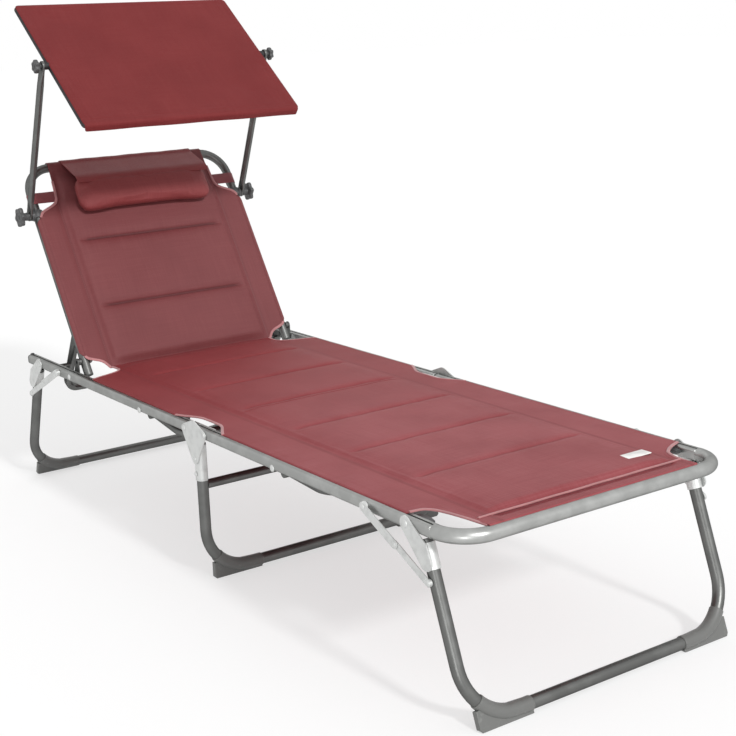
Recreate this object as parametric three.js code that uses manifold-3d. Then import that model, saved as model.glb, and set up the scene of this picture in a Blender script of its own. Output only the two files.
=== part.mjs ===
// Folding sun lounger with an adjustable back and a tilting canopy
// Millimetres, +Z up. Y runs from the foot end (-Y) to the head end (+Y), X across.
import * as THREE from 'three';
import { mergeVertices } from 'three/addons/utils/BufferGeometryUtils.js';
import Module from 'manifold-3d';

const wasm = await Module();
wasm.setup();

// Fits between pieces and counts of facets
const clear = 0.3;
const overrun = 5;
const pinPlay = 0.7;
const tubeSides = 12;
const pinSides = 8;
const slimSides = 8;
const wrapSteps = 5;
const bendSteps = 6;

// Side rails
const railHalf = 290;
const railHeight = 306;
const railWide = 22;
const railTall = 20;
const railRound = 5;
const grooveWide = 4.2;
const grooveDeep = 6;
const seatLength = 800;
const footLength = 730;
const railEndGap = 3;
const capThick = 4;
const capHump = 4;

// Rivets and sheet metal
const pinRadius = 4;
const rivetRadius = 7;
const rivetHigh = 2.4;
const sheetThick = 2.5;
const cheekThick = 1.4;

// Foot-end tube and the bows under the cloth
const footTubeRadius = 12.25;
const footCorner = 61;
const bowRadius = 8;
const bowInset = 24;
const bowHalf = railHalf - bowInset;
const bowCorner = 40;
const bowDrop = 27;
const bowReach = 130;
const bowEndDrop = 6;
const seatBowPlace = 232;
const footBowPlace = 281;

// Middle hinge and middle leg
const foldPivot = 37.5;
const hingePlateTop = 1;
const hingeCornerRadius = 8.5;
const hingeTipRadius = 9;
const hingeTipDrop = 95;
const hingeTipHeight = railHeight - hingeTipDrop;
const hingeHumpRadius = 18;
const hingeHumpLift = 2;
const legRadius = 11;
const legCorner = 90;
const legFloor = 14.5;
const middleLegDrop = 26;
const middleLegTop = railHeight - middleLegDrop;
const crossRadius = 9;
const crossDrop = 110;
const crossHeight = railHeight - crossDrop;
const legRivetDrop = 55;
const legRivetStep = 30;

// Splayed legs at both ends
const splay = THREE.MathUtils.degToRad(20);
const legOffset = 27;
const endLegDrop = 18.3;
const endLegTop = railHeight - endLegDrop;
const rearLegInset = 64;
const footLegInset = 58;
const rearLegPlace = seatLength - rearLegInset;
const footLegPlace = footLength - footLegInset;
const bracketPivotRadius = 13;
const bracketTopRadius = 8;
const bracketFootRadius = 11;
const sleeveDrop = 23;
const sleeveLength = 40;
const sleeveTop = railHeight - sleeveDrop;
const sleeveBottom = sleeveTop - sleeveLength;
const sleeveWall = 2;

// Two-link stays of the end legs
const stayPlace = 107;
const stayLegDrop = 80;
const stayLegHeight = railHeight - stayLegDrop;
const stayThick = 2;
const stayRadius = 8;

// Shoes on the floor
const shoeInset = 12;
const shoeLong = 101;
const shoeOuter = railHalf - shoeInset;
const shoeInner = shoeOuter - shoeLong;
const shoeTall = 33;
const shoeNose = 7;
const shoeHalf = 13;

// Back frame and its hinge
const backInset = 224;
const backLift = 29;
const backPlace = seatLength - backInset;
const backHeight = railHeight + backLift;
const backTilt = THREE.MathUtils.degToRad(57.8);
const backLength = 480.7;
const backRadius = 10;
const backCorner = 62;
const backEnd = 8;
const backBush = 7;
const bushRadius = 7;
const cheekRadius = 12;
const cheekFootHalf = 22;
const cheekFootRadius = 4;
const cheekRivetInset = 4;
const webLift = 13;
const cheekRivetPlace = backPlace - cheekRivetInset;
const webHeight = railHeight + webLift;

// Stand behind the back, and the toothed racks it rests on
const standPlace = 98;
const standBehind = 4;
const standInset = 53;
const standHalf = railHalf - standInset;
const standDeep = 22;
const standWide = 12;
const standSides = 4;
const standCorner = 40;
const standReach = 170;
const standPin = 123.4;
const standBoss = 6;
const rackPitch = 20;
const rackSlots = 9;
const rackSlotsAhead = 3;
const rackTipDrop = 6.8;
const rackTooth = 5;
const rackBaseDrop = 16;
const rackTip = railHeight - rackTipDrop;
const rackBase = railHeight - rackBaseDrop;
const rackShelf = 14;
const rackWeb = 1.7;

// Canopy, its arms and knobs
const collarPlace = 364.7;
const collarHalf = 9;
const collarWall = 4;
const eyeInset = 14;
const eyeInner = railHalf - eyeInset;
const eyeThick = 6;
const eyeRadius = 11;
const armRadius = 7.5;
const armBare = 27;
const shadeRise = 646;
const shadeAhead = 48;
const shadeHeight = backHeight + shadeRise;
const shadePlace = backPlace + shadeAhead;
const shadeTilt = THREE.MathUtils.degToRad(38.1);
const shadeTubeRadius = 6;
const shadeInset = 28;
const shadeHalf = railHalf - shadeInset;
const shadeReach = 197;
const shadeCorner = 22;
const shadeCloth = 1.6;
const shadeSkirt = 7;
const shadeSag = 6;
const lugRadius = 8;
const shankRadius = 3;
const knobRadius = 23;
const knobLobe = 2.2;
const knobLobes = 6;
const knobThick = 10;
const lobePoints = 6;
const knobNeckRadius = 9;
const armKnobNeck = 14;
const shadeKnobNeck = 3;

// Cloth, pads and pillow
const clothThick = 2;
const clothPast = 1;
const clothEdge = railHalf + clothPast;
const clothHem = 2;
const wrapPlay = 1.5;
const padInset = 85;
const padHalf = railHalf - padInset;
const padCrown = 11;
const padRise = 2.5;
const clothSink = 4;
const hingeCutDeep = 29;
const hingeCutHalf = clothEdge - hingeCutDeep;
const hingeCutPlace = 60;
const hingeCutEnd = 92;
const creaseInset = 24;
const backCutInset = 93;
const creasePlace = backPlace - creaseInset;
const backCutPlace = backPlace - backCutInset;
const backCutDeep = 85;
const backCutHalf = clothEdge - backCutDeep;
const footCutInset = 68;
const footCutPlace = footLength - footCutInset;
const footCutDeep = 70;
const footCutHalf = clothEdge - footCutDeep;
const footWrapInset = 2;
const footWrapHalf = footCutHalf - footWrapInset;
const seamPitch = 187;
const seatSeam = 391;
const footSeam = 170;
const backSeams = [20, 117, 283];
const backWrapEnd = 345;
const backCutTop = 362;
const backNarrow = 400;
const backHem = 22;
const backTopInset = 94;
const backTopHalf = railHalf - backTopInset;
const pillowInset = 122;
const pillowHalf = railHalf - pillowInset;
const pillowBottom = 338;
const pillowTop = 428;
const pillowThick = 40;
const pillowCorner = 28;
const strapHalf = 120;
const handlePlace = 400;
const handleHalf = 75;
const handleDrop = 62;
const strapWide = 28;
const strapThick = 2;
const strapSteps = 12;

// Places that several pieces share
const railInner = railHalf - railWide / 2;
const railOuter = railHalf + railWide / 2;
const railTop = railHeight + railTall / 2;
const plateInner = railInner - clear;
const plateOuter = railOuter + clear;
const backHalf = plateInner - cheekThick - backBush - clear - backRadius;
const stayInner = plateOuter + sheetThick + clear;
const blindEnd = railHalf - railWide / 4;
const footBarPlace = footLength + footCorner;

// Colours of the materials
const graphite = { color: 0x53565a, roughness: 0.38, metalness: 0.75 };
const silver = { color: 0xb9bcc0, roughness: 0.35, metalness: 0.85 };
const plastic = { color: 0x3a3c40, roughness: 0.6, metalness: 0.0 };
const maroon = { color: 0x7d2a31, roughness: 0.9, metalness: 0.0 };

// Solids: joining and cutting
function solidOf(geometry) {
  const bare = geometry.clone();
  bare.deleteAttribute('normal');
  bare.deleteAttribute('uv');
  const merged = mergeVertices(bare, 1e-4);
  const vertProperties = new Float32Array(merged.attributes.position.array);
  const triVerts = new Uint32Array(merged.index.array);
  return new wasm.Manifold(new wasm.Mesh({ numProp: 3, vertProperties, triVerts }));
}

function geometryOf(solid) {
  const mesh = solid.getMesh();
  const geometry = new THREE.BufferGeometry();
  geometry.setAttribute('position', new THREE.BufferAttribute(mesh.vertProperties, 3));
  geometry.setIndex(new THREE.BufferAttribute(mesh.triVerts, 1));
  return geometry;
}

function fuse(first, ...others) {
  return geometryOf(others.reduce((sum, other) => sum.add(solidOf(other)), solidOf(first)));
}

function cut(first, ...others) {
  return geometryOf(others.reduce((rest, other) => rest.subtract(solidOf(other)), solidOf(first)));
}

function mirrored(geometry) {
  const copy = mergeVertices(strip(geometry), 1e-4);
  copy.scale(-1, 1, 1);
  const index = copy.index.array;
  for (let i = 0; i < index.length; i += 3) {
    [index[i], index[i + 1]] = [index[i + 1], index[i]];
  }
  return copy;
}

function strip(geometry) {
  const bare = geometry.clone();
  bare.deleteAttribute('normal');
  bare.deleteAttribute('uv');
  return bare;
}

// Outlines
function hullShape(circles) {
  const shape = new THREE.Shape();
  const count = circles.length;
  const tangent = circles.map(([x, y, r], i) => {
    const [nextX, nextY, nextR] = circles[(i + 1) % count];
    const reach = Math.hypot(nextX - x, nextY - y);
    return Math.atan2(nextY - y, nextX - x) - Math.acos((r - nextR) / reach);
  });
  circles.forEach(([x, y, r], i) => {
    shape.absarc(x, y, r, tangent[(i + count - 1) % count], tangent[i], false);
  });
  return shape;
}

function roundRect(halfX, halfY, corner) {
  const x = halfX - corner;
  const y = halfY - corner;
  const shape = new THREE.Shape();
  shape.absarc(x, y, corner, 0, Math.PI / 2, false);
  shape.absarc(-x, y, corner, Math.PI / 2, Math.PI, false);
  shape.absarc(-x, -y, corner, Math.PI, Math.PI * 1.5, false);
  shape.absarc(x, -y, corner, Math.PI * 1.5, Math.PI * 2, false);
  return shape;
}

function roundSection(radius) {
  return new THREE.Shape().absarc(0, 0, radius, 0, Math.PI * 2, false);
}

// The rail's section: rounded, with the groove for the cloth in its top
function railShape(grooved) {
  const x = railWide / 2 - railRound;
  const y = railTall / 2 - railRound;
  const groove = grooveWide / 2;
  const top = railTall / 2;
  const shape = new THREE.Shape();
  shape.absarc(-x, y, railRound, Math.PI / 2, Math.PI, false);
  shape.absarc(-x, -y, railRound, Math.PI, Math.PI * 1.5, false);
  shape.absarc(x, -y, railRound, Math.PI * 1.5, Math.PI * 2, false);
  shape.absarc(x, y, railRound, 0, Math.PI / 2, false);
  if (grooved) {
    shape.lineTo(groove, top);
    shape.lineTo(groove, top - grooveDeep);
    shape.lineTo(-groove, top - grooveDeep);
    shape.lineTo(-groove, top);
  }
  return shape;
}

// Extrusions along Y and X
function alongY(shape, start, end, curveSegments = 2) {
  const depth = end - start;
  const geometry = new THREE.ExtrudeGeometry(shape, { depth, bevelEnabled: false, curveSegments });
  geometry.rotateX(Math.PI / 2);
  return geometry.translate(0, end, 0);
}

function alongX(shape, start, end, curveSegments = 2) {
  const depth = end - start;
  const geometry = new THREE.ExtrudeGeometry(shape, { depth, bevelEnabled: false, curveSegments });
  const turn = new THREE.Matrix4().makeBasis(
    new THREE.Vector3(0, 1, 0), new THREE.Vector3(0, 0, 1), new THREE.Vector3(1, 0, 0));
  geometry.applyMatrix4(turn);
  return geometry.translate(start, 0, 0);
}

function rod(start, end, radius, y, z, sides = pinSides) {
  const geometry = new THREE.CylinderGeometry(radius, radius, end - start, sides);
  geometry.rotateZ(-Math.PI / 2);
  return geometry.translate((start + end) / 2, y, z);
}

const rivetShares = [[0, 0], [1, 0], [0.75, 1], [0, 1]];

// A rivet head whose flat side lies at start and whose dome points along +X or -X
function rivetHead(start, direction, y, z) {
  const points = rivetShares.map(([r, h]) => new THREE.Vector2(r * rivetRadius, h * rivetHigh));
  const geometry = new THREE.LatheGeometry(points, pinSides);
  geometry.rotateZ(-direction * Math.PI / 2);
  return geometry.translate(start, y, z);
}

// A run with straight stretches and round bends, sampled only where it turns
class BentRun extends THREE.Curve {
  constructor(stations) {
    super();
    this.stations = stations;
  }

  getUtoTmapping(u) {
    return u;
  }

  stationAt(t) {
    return this.stations[Math.round(t * (this.stations.length - 1))];
  }

  getPoint(t) {
    return this.stationAt(t).point.clone();
  }

  getTangent(t) {
    return this.stationAt(t).tangent.clone();
  }
}

function station(x, y, heading) {
  return {
    point: new THREE.Vector3(x, y, 0),
    tangent: new THREE.Vector3(Math.cos(heading), Math.sin(heading), 0),
  };
}

// A U-shaped tube lying flat: open ends at y = 0, cross bar on y = length
function hoop(half, length, corner, section, sides = tubeSides) {
  const stations = [station(-half, 0, Math.PI / 2)];
  for (let i = 0; i <= bendSteps; i += 1) {
    const turn = (i / bendSteps) * Math.PI / 2;
    const x = -half + corner * (1 - Math.cos(turn));
    const y = length - corner * (1 - Math.sin(turn));
    stations.push(station(x, y, Math.PI / 2 - turn));
  }
  for (let i = 0; i <= bendSteps; i += 1) {
    const turn = (i / bendSteps) * Math.PI / 2;
    const x = half - corner * (1 - Math.sin(turn));
    const y = length - corner * (1 - Math.cos(turn));
    stations.push(station(x, y, -turn));
  }
  stations.push(station(half, 0, -Math.PI / 2));
  const extrudePath = new BentRun(stations);
  const steps = stations.length - 1;
  return new THREE.ExtrudeGeometry(section, { extrudePath, steps, curveSegments: sides / 2 });
}

// Side rails with holes for what is riveted to them
function seatRail(side) {
  const rail = alongY(railShape(true), railEndGap, seatLength).translate(railHalf, 0, railHeight);
  const through = [foldPivot, seatBowPlace, cheekRivetPlace];
  const holes = through.map((y) => railHole(y, y === seatBowPlace ? bowEndDrop : 0, true));
  const blind = [rearLegPlace, rearLegPlace - stayPlace].map((y) => railHole(y, 0, false));
  return sided(cut(rail, ...holes, ...blind), side);
}

function footRail(side) {
  const rail = alongY(railShape(true), -footLength, -railEndGap).translate(railHalf, 0, railHeight);
  const through = [foldPivot, footBowPlace];
  const holes = through.map((y) => railHole(-y, y === footBowPlace ? bowEndDrop : 0, true));
  const blind = [footLegPlace, footLegPlace - stayPlace].map((y) => railHole(-y, 0, false));
  return sided(cut(rail, ...holes, ...blind), side);
}

function railHole(y, drop, through) {
  const start = through ? railInner - overrun : blindEnd - clear;
  return rod(start, railOuter + overrun, pinRadius + pinPlay, y, railHeight - drop);
}

function sided(geometry, side) {
  return side < 0 ? mirrored(geometry) : geometry;
}

function railCap(side) {
  const plate = alongY(railShape(false), seatLength + clear, seatLength + clear + capThick);
  const hump = alongY(roundRect(railWide / 4, capHump + railRound, railRound), seatLength + clear,
    seatLength + clear + capThick).translate(0, 0, railTall / 2 - railRound);
  return fuse(plate, hump).translate(side * railHalf, 0, railHeight);
}

// Foot-end tube: a U that closes the foot rails
function footEnd() {
  const start = footLength + clear;
  const tube = hoop(railHalf, footBarPlace - start, footCorner - clear, roundSection(footTubeRadius));
  return tube.rotateZ(Math.PI).translate(0, -start, railHeight);
}

// Bow under the cloth, riveted through the rails; it hangs lower at its cross bar
function bow() {
  const fall = Math.atan2(bowDrop - bowEndDrop, bowReach);
  const length = Math.hypot(bowDrop - bowEndDrop, bowReach);
  const arms = hoop(bowHalf, length, bowCorner, roundSection(bowRadius), slimSides);
  arms.rotateX(Math.PI + fall);
  const studs = [-1, 1].flatMap((side) => {
    const boss = rod(bowHalf, plateInner, bowRadius, 0, 0);
    const pin = rod(bowHalf, plateOuter, pinRadius, 0, 0);
    const head = rivetHead(plateOuter - clear / 2, 1, 0, 0);
    return [boss, pin, head].map((piece) => sided(piece, side));
  });
  return fuse(arms, ...studs);
}

// Hinge plates of the middle leg; the outer pair carries the two fold pins
function hingePlate(hump) {
  const corner = railHeight - hingePlateTop;
  const circles = [
    [0, hingeTipHeight + (hump ? hingeTipRadius : 0), hingeTipRadius],
    [foldPivot, corner, hingeCornerRadius],
  ];
  if (hump) circles.push([0, railHeight + hingeHumpLift, hingeHumpRadius]);
  circles.push([-foldPivot, corner, hingeCornerRadius]);
  return hullShape(circles);
}

function outerHingePlate(side) {
  const start = plateOuter;
  const end = plateOuter + sheetThick;
  const plate = alongX(hingePlate(false), start, end);
  const pins = [-foldPivot, foldPivot].map((y) => rod(railInner, end, pinRadius, y, railHeight));
  const heads = [
    [-foldPivot, railHeight],
    [foldPivot, railHeight],
    [0, railHeight - legRivetDrop],
    [0, railHeight - legRivetDrop - legRivetStep],
  ].map(([y, z]) => rivetHead(end - clear / 2, 1, y, z));
  return sided(fuse(plate, ...pins, ...heads), side);
}

function innerHingePlate(side) {
  const plate = alongX(hingePlate(true), plateInner - sheetThick, plateInner);
  const heads = [-foldPivot, foldPivot]
    .map((y) => rivetHead(plateInner - sheetThick + clear / 2, -1, y, railHeight));
  return sided(fuse(plate, ...heads), side);
}

// Legs: a U tube standing on its bend, drawn in its own plane with y running down it
function legTube(length) {
  return hoop(railHalf, length, legCorner, roundSection(legRadius));
}

// Shoe under a bend of the leg, flat on the floor whatever the leg's splay
function shoe(length, tilt) {
  const rise = shoeTall - legFloor;
  const low = legFloor + shoeHalf;
  const climb = Math.acos((legCorner - rise) / legCorner);
  const outline = new THREE.Shape();
  outline.moveTo(shoeInner, -low);
  outline.lineTo(shoeOuter - shoeNose, -low);
  outline.lineTo(shoeOuter, shoeNose - legFloor);
  outline.lineTo(shoeOuter, rise);
  outline.absarc(railHalf - legCorner, legCorner, legCorner, climb - Math.PI / 2, -Math.PI / 2, true);
  outline.lineTo(shoeInner, 0);
  const depth = shoeHalf * 2;
  const block = new THREE.ExtrudeGeometry(outline, { depth, bevelEnabled: false, curveSegments: 3 });
  block.translate(0, 0, -shoeHalf).rotateX(Math.PI).translate(0, length, 0);
  const bore = hoop(railHalf, length, legCorner, roundSection(legRadius + clear));
  const floor = new THREE.BoxGeometry((shoeOuter + overrun) * 2, legCorner, legCorner * 2);
  floor.translate(0, legFloor + legCorner / 2, 0).rotateX(-tilt).translate(0, length, 0);
  return cut(block, bore, floor);
}

// Splayed leg, measured from its pivot on the rail: y points away from the middle
const legDown = new THREE.Vector2(Math.sin(splay), -Math.cos(splay));
const legFoot = new THREE.Vector2(Math.cos(splay), Math.sin(splay)).multiplyScalar(legOffset);

function onLeg(height) {
  const along = (railHeight + legFoot.y - height) / Math.cos(splay);
  return new THREE.Vector2(legFoot.x + legDown.x * along, height - railHeight);
}

const endLegLength = (endLegTop - legFloor) / Math.cos(splay);

function endLegTube() {
  const tube = legTube(endLegLength);
  const hole = rod(railOuter - legRadius / 2, railOuter + overrun, pinRadius + pinPlay,
    (endLegTop - stayLegHeight) / Math.cos(splay), 0);
  return cut(tube, hole, mirrored(hole));
}

function legBracket(side) {
  const top = onLeg(sleeveTop);
  const foot = onLeg(sleeveBottom);
  const start = plateOuter;
  const end = plateOuter + sheetThick;
  const outline = hullShape([
    [0, 0, bracketPivotRadius],
    [foot.x - legRadius / 2, foot.y + bracketFootRadius, bracketFootRadius],
    [foot.x, foot.y + bracketFootRadius, bracketFootRadius],
    [top.x + legRadius / 2, top.y - bracketTopRadius, bracketTopRadius],
  ]);
  const plate = alongX(outline, start, end);
  const pin = rod(blindEnd, end, pinRadius, 0, 0);
  const head = rivetHead(end - clear / 2, 1, 0, 0);
  const sleeve = legSleeve(top, foot, legRadius + clear + sleeveWall);
  const bore = legSleeve(onLeg(sleeveTop + overrun), onLeg(sleeveBottom - overrun), legRadius + clear);
  return sided(cut(fuse(plate, sleeve, pin, head), bore), side);
}

function legSleeve(top, foot, radius) {
  const length = top.distanceTo(foot);
  const geometry = new THREE.CylinderGeometry(radius, radius, length, tubeSides);
  geometry.rotateX(splay - Math.PI / 2);
  return geometry.translate(railHalf, (top.x + foot.x) / 2, (top.y + foot.y) / 2);
}

// Stay links, drawn from the pivot they turn on
const stayTop = new THREE.Vector2(-stayPlace, 0);
const stayFoot = onLeg(stayLegHeight);
const stayElbow = stayTop.clone().add(stayFoot).multiplyScalar(0.5);

function stayLink(from, to, start, pinEnd, headed) {
  const reach = to.clone().sub(from);
  const outline = hullShape([[0, 0, stayRadius], [reach.x, reach.y, stayRadius]]);
  const link = alongX(outline, start, start + stayThick);
  const boss = rod(plateOuter, start + stayThick / 2, stayRadius, 0, 0);
  const pin = rod(pinEnd, start + stayThick / 2, pinRadius, 0, 0);
  const end = start + stayThick - clear / 2;
  const heads = [rivetHead(end, 1, 0, 0)];
  if (headed) heads.push(rivetHead(end, 1, reach.x, reach.y));
  return fuse(link, boss, pin, ...heads);
}

function upperStay(side) {
  return sided(stayLink(stayTop, stayElbow, stayInner + stayThick + clear, blindEnd, true), side);
}

function lowerStay(side) {
  const pinEnd = railOuter - legRadius / 2 + clear;
  return sided(stayLink(stayFoot, stayElbow, stayInner, pinEnd, false), side);
}

// Back frame: a U tube from the hinge to the top bar, drawn flat from its hinge
function backFrame() {
  const start = -backEnd;
  const tube = hoop(backHalf, backLength - start, backCorner, roundSection(backRadius));
  tube.translate(0, start, 0);
  const holes = [0, standPlace].map((y) => {
    const reach = y > 0 ? backHalf : backHalf + backRadius + overrun;
    return rod(backHalf - backRadius - overrun, reach, pinRadius + pinPlay, y, y > 0 ? -standBehind : 0);
  });
  return cut(tube, ...holes, ...holes.map(mirrored));
}

// Fork on the rail's inner face that holds the back frame's end
function hingeBracket(side) {
  const inner = backHalf - backRadius - clear;
  const foot = railHeight + cheekFootRadius - railTall / 4 - backHeight;
  const outerCheek = alongX(hullShape([
    [0, 0, cheekRadius],
    [-cheekFootHalf, foot, cheekFootRadius],
    [cheekFootHalf, foot, cheekFootRadius],
  ]), plateInner - cheekThick, plateInner);
  const webTop = webHeight - backHeight;
  const innerCheek = alongX(hullShape([
    [0, 0, cheekRadius],
    [-cheekFootHalf, webTop + cheekFootRadius / 2, cheekFootRadius],
    [cheekFootHalf, webTop + cheekFootRadius / 2, cheekFootRadius],
  ]), inner - sheetThick, inner);
  const web = new THREE.BoxGeometry(plateInner - inner + sheetThick, cheekFootHalf * 2, cheekThick);
  web.translate((plateInner + inner - sheetThick) / 2, 0, webTop - cheekThick / 2);
  const pin = rod(inner - sheetThick / 2, plateInner - cheekThick / 2, pinRadius, 0, 0);
  const bush = rod(backHalf + backRadius + clear, plateInner - cheekThick / 2, bushRadius, 0, 0);
  const head = rivetHead(inner - sheetThick + clear / 2, -1, 0, 0);
  const [y, z] = [cheekRivetPlace - backPlace, railHeight - backHeight];
  const rivet = rod(plateInner - cheekThick / 2, plateOuter, pinRadius, y, z);
  const rivetEnd = rivetHead(plateOuter - clear / 2, 1, y, z);
  return sided(fuse(outerCheek, innerCheek, web, pin, bush, head, rivet, rivetEnd), side);
}

const toothShares = [0.3, 0.8];

// Toothed rack riveted under the rear of the rail
function rack(side) {
  const [pinY] = standPinPlace();
  const start = pinY - rackSlotsAhead * rackPitch - rackPitch / 2;
  const shape = new THREE.Shape();
  shape.moveTo(start, rackBase);
  shape.lineTo(start + rackPitch * rackSlots, rackBase);
  for (let i = rackSlots; i > 0; i -= 1) {
    const y = start + rackPitch * i;
    shape.lineTo(y, rackTip);
    toothShares.forEach((share) => shape.lineTo(y - rackPitch * share, rackTip - rackTooth));
  }
  shape.lineTo(start, rackTip);
  const shelf = alongX(shape, plateInner - rackShelf, plateInner);
  const web = alongX(rackWebShape(start), plateInner - rackWeb, plateInner);
  return sided(fuse(shelf, web), side);
}

function rackWebShape(start) {
  const high = railHeight + railTall / 4;
  const end = start + rackPitch * rackSlots;
  return hullShape([
    [start + railRound, rackBase + railRound, railRound],
    [end - railRound, rackBase + railRound, railRound],
    [end - railRound, high - railRound, railRound],
    [start + railRound, high - railRound, railRound],
  ]);
}

// Where the stand turns on the back frame, and where its pins lie, in the lounger's frame
function standPivotPlace() {
  const along = new THREE.Vector2(Math.cos(backTilt), Math.sin(backTilt)).multiplyScalar(standPlace);
  const behind = new THREE.Vector2(Math.sin(backTilt), -Math.cos(backTilt)).multiplyScalar(standBehind);
  return [backPlace + along.x + behind.x, backHeight + along.y + behind.y];
}

function standPinPlace() {
  const [y, z] = standPivotPlace();
  return [y + Math.sqrt(standPin ** 2 - (z - railHeight) ** 2), railHeight];
}

// Stand: a U of flat tube, drawn flat from its pivots, with pins for the racks
function stand() {
  const rim = standWide / 2;
  const flat = hullShape([[rim - standDeep / 2, 0, rim], [standDeep / 2 - rim, 0, rim]]);
  const tube = hoop(standHalf, standReach, standCorner, flat, standSides);
  const boss = rod(standHalf, backHalf - backRadius - clear, standBoss, 0, 0);
  const pivot = rod(standHalf, backHalf - backRadius / 2, pinRadius - clear, 0, 0);
  const end = rod(standHalf - standWide / 2, standHalf + standWide / 2, standDeep / 2, 0, 0);
  const pin = rod(standHalf, plateInner - rackWeb - clear, pinRadius, standPin, 0);
  const pieces = [boss, pivot, end, pin];
  return fuse(tube, ...pieces, ...pieces.map(mirrored));
}

// Collar clamped round the back frame, with the seat of the canopy arm
function collar(side) {
  const outer = backRadius + clear + collarWall;
  const ring = new THREE.CylinderGeometry(outer, outer, collarHalf * 2, tubeSides).translate(backHalf, 0, 0);
  const lug = rod(backHalf, eyeInner - clear, eyeRadius, 0, 0);
  const reach = backRadius + clear;
  const bore = new THREE.CylinderGeometry(reach, reach, (collarHalf + overrun) * 2, tubeSides);
  bore.translate(backHalf, 0, 0);
  const hole = rod(backHalf, eyeInner + overrun, shankRadius + pinPlay, 0, 0);
  const open = new THREE.BoxGeometry(outer * 2, (collarHalf + overrun) * 2, outer * 2);
  open.translate(backHalf + clothHem - outer, 0, outer);
  return sided(cut(fuse(ring, lug), bore, hole, open), side);
}

// Canopy arm with a flattened eye at each end
function canopyArm(side, length) {
  const middle = eyeInner + eyeThick / 2;
  const tube = new THREE.CylinderGeometry(armRadius, armRadius, length - armBare * 2, tubeSides);
  tube.translate(middle, length / 2, 0);
  const plates = [0, length].map((y) => {
    const inward = y === 0 ? armBare * 2 : length - armBare * 2;
    const low = Math.min(y, inward);
    const outline = hullShape([[low, 0, y === 0 ? eyeRadius : armRadius],
      [Math.max(y, inward), 0, y === 0 ? armRadius : eyeRadius]]);
    return alongX(outline, eyeInner, eyeInner + eyeThick);
  });
  const hole = [0, length].map((y) => rod(eyeInner - overrun, eyeInner + eyeThick + overrun,
    shankRadius + pinPlay, y, 0));
  return sided(cut(fuse(tube, ...plates), ...hole), side);
}

// Star knob on a threaded shank
function knob(side, neck) {
  const points = [];
  const count = knobLobes * lobePoints;
  for (let i = 0; i < count; i += 1) {
    const turn = (i / count) * Math.PI * 2;
    const radius = knobRadius - knobLobe * (1 + Math.cos(knobLobes * turn));
    points.push(new THREE.Vector2(radius * Math.cos(turn), radius * Math.sin(turn)));
  }
  const face = eyeInner + eyeThick + clear;
  const star = alongX(new THREE.Shape(points), face + neck, face + neck + knobThick);
  const base = rod(face, face + neck + knobThick / 2, knobNeckRadius, 0, 0);
  const shank = rod(eyeInner - eyeThick, face + neck, shankRadius, 0, 0);
  return sided(fuse(star, base, shank), side);
}

// Canopy frame: two U tubes joined into a loop, with a lug on each side
function canopyFrame() {
  const section = roundSection(shadeTubeRadius);
  const half = hoop(shadeHalf, shadeReach + clear, shadeCorner, section, slimSides).translate(0, -clear, 0);
  const other = half.clone().rotateZ(Math.PI);
  const lug = rod(shadeHalf + shadeTubeRadius / 2, eyeInner - clear, lugRadius, 0, 0);
  const hole = rod(shadeHalf + shadeTubeRadius, eyeInner + overrun, shankRadius + pinPlay, 0, 0);
  const frame = fuse(half, other, lug, mirrored(lug));
  return cut(frame, hole, mirrored(hole));
}

// Rings of a rounded outline joined into one closed skin, from the first ring's
// middle to the last ring's middle
function cover(rings, halfX, halfY, corner) {
  const positions = [];
  const index = [];
  const outline = rings.map(([out]) => {
    const reach = Math.max(corner + out, corner / 2);
    return roundRect(halfX + out, halfY + out, reach).extractPoints(bendSteps / 2).shape;
  });
  const count = outline[0].length;
  rings.forEach(([, high], i) => outline[i].forEach((p) => positions.push(p.x, p.y, high)));
  const first = positions.length / 3;
  positions.push(0, 0, rings[0][2] ?? rings[0][1]);
  positions.push(0, 0, rings[rings.length - 1][2] ?? rings[rings.length - 1][1]);
  for (let j = 0; j < count; j += 1) {
    const next = (j + 1) % count;
    index.push(first, j, next);
    const last = (rings.length - 1) * count;
    index.push(first + 1, last + next, last + j);
    for (let i = 0; i < rings.length - 1; i += 1) {
      const [a, b, c, d] = [i * count + j, i * count + next, (i + 1) * count + j, (i + 1) * count + next];
      index.push(a, c, b, b, c, d);
    }
  }
  const geometry = new THREE.BufferGeometry();
  geometry.setAttribute('position', new THREE.Float32BufferAttribute(positions, 3));
  geometry.setIndex(index);
  return geometry;
}

// How far out the skirt's round lies halfway round the tube
const roundShare = 0.76;

// The canopy's sag: shares of the half width inward, and of the sag there
const sagShares = [[0.35, 0.8], [0, 0.15]];

// Canopy cloth stretched over its frame, with a skirt round the tube
function canopyCloth() {
  const reach = shadeTubeRadius + clear * 2;
  const outer = reach + shadeCloth;
  const [[middle, middleSag], [, edgeSag]] = sagShares;
  const rings = [
    [-shadeHalf * middle, outer - shadeSag * middleSag, outer - shadeSag],
    [-shadeCorner, outer - shadeSag * edgeSag],
    [0, outer],
    [outer * roundShare, outer * roundShare],
    [outer, 0],
    [outer, -shadeSkirt],
    [reach, -shadeSkirt],
    [reach, 0],
    [reach * roundShare, reach * roundShare],
    [0, reach],
    [-shadeCorner, reach - shadeSag * edgeSag],
    [-shadeHalf * middle, reach - shadeSag * middleSag, reach - shadeSag],
  ];
  const skin = cover(rings, shadeHalf, shadeReach, shadeCorner);
  const notch = rod(shadeHalf + shadeTubeRadius / 2 - clear, eyeInner, lugRadius + clear * 2, 0, 0);
  return cut(skin, notch, mirrored(notch));
}

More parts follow.
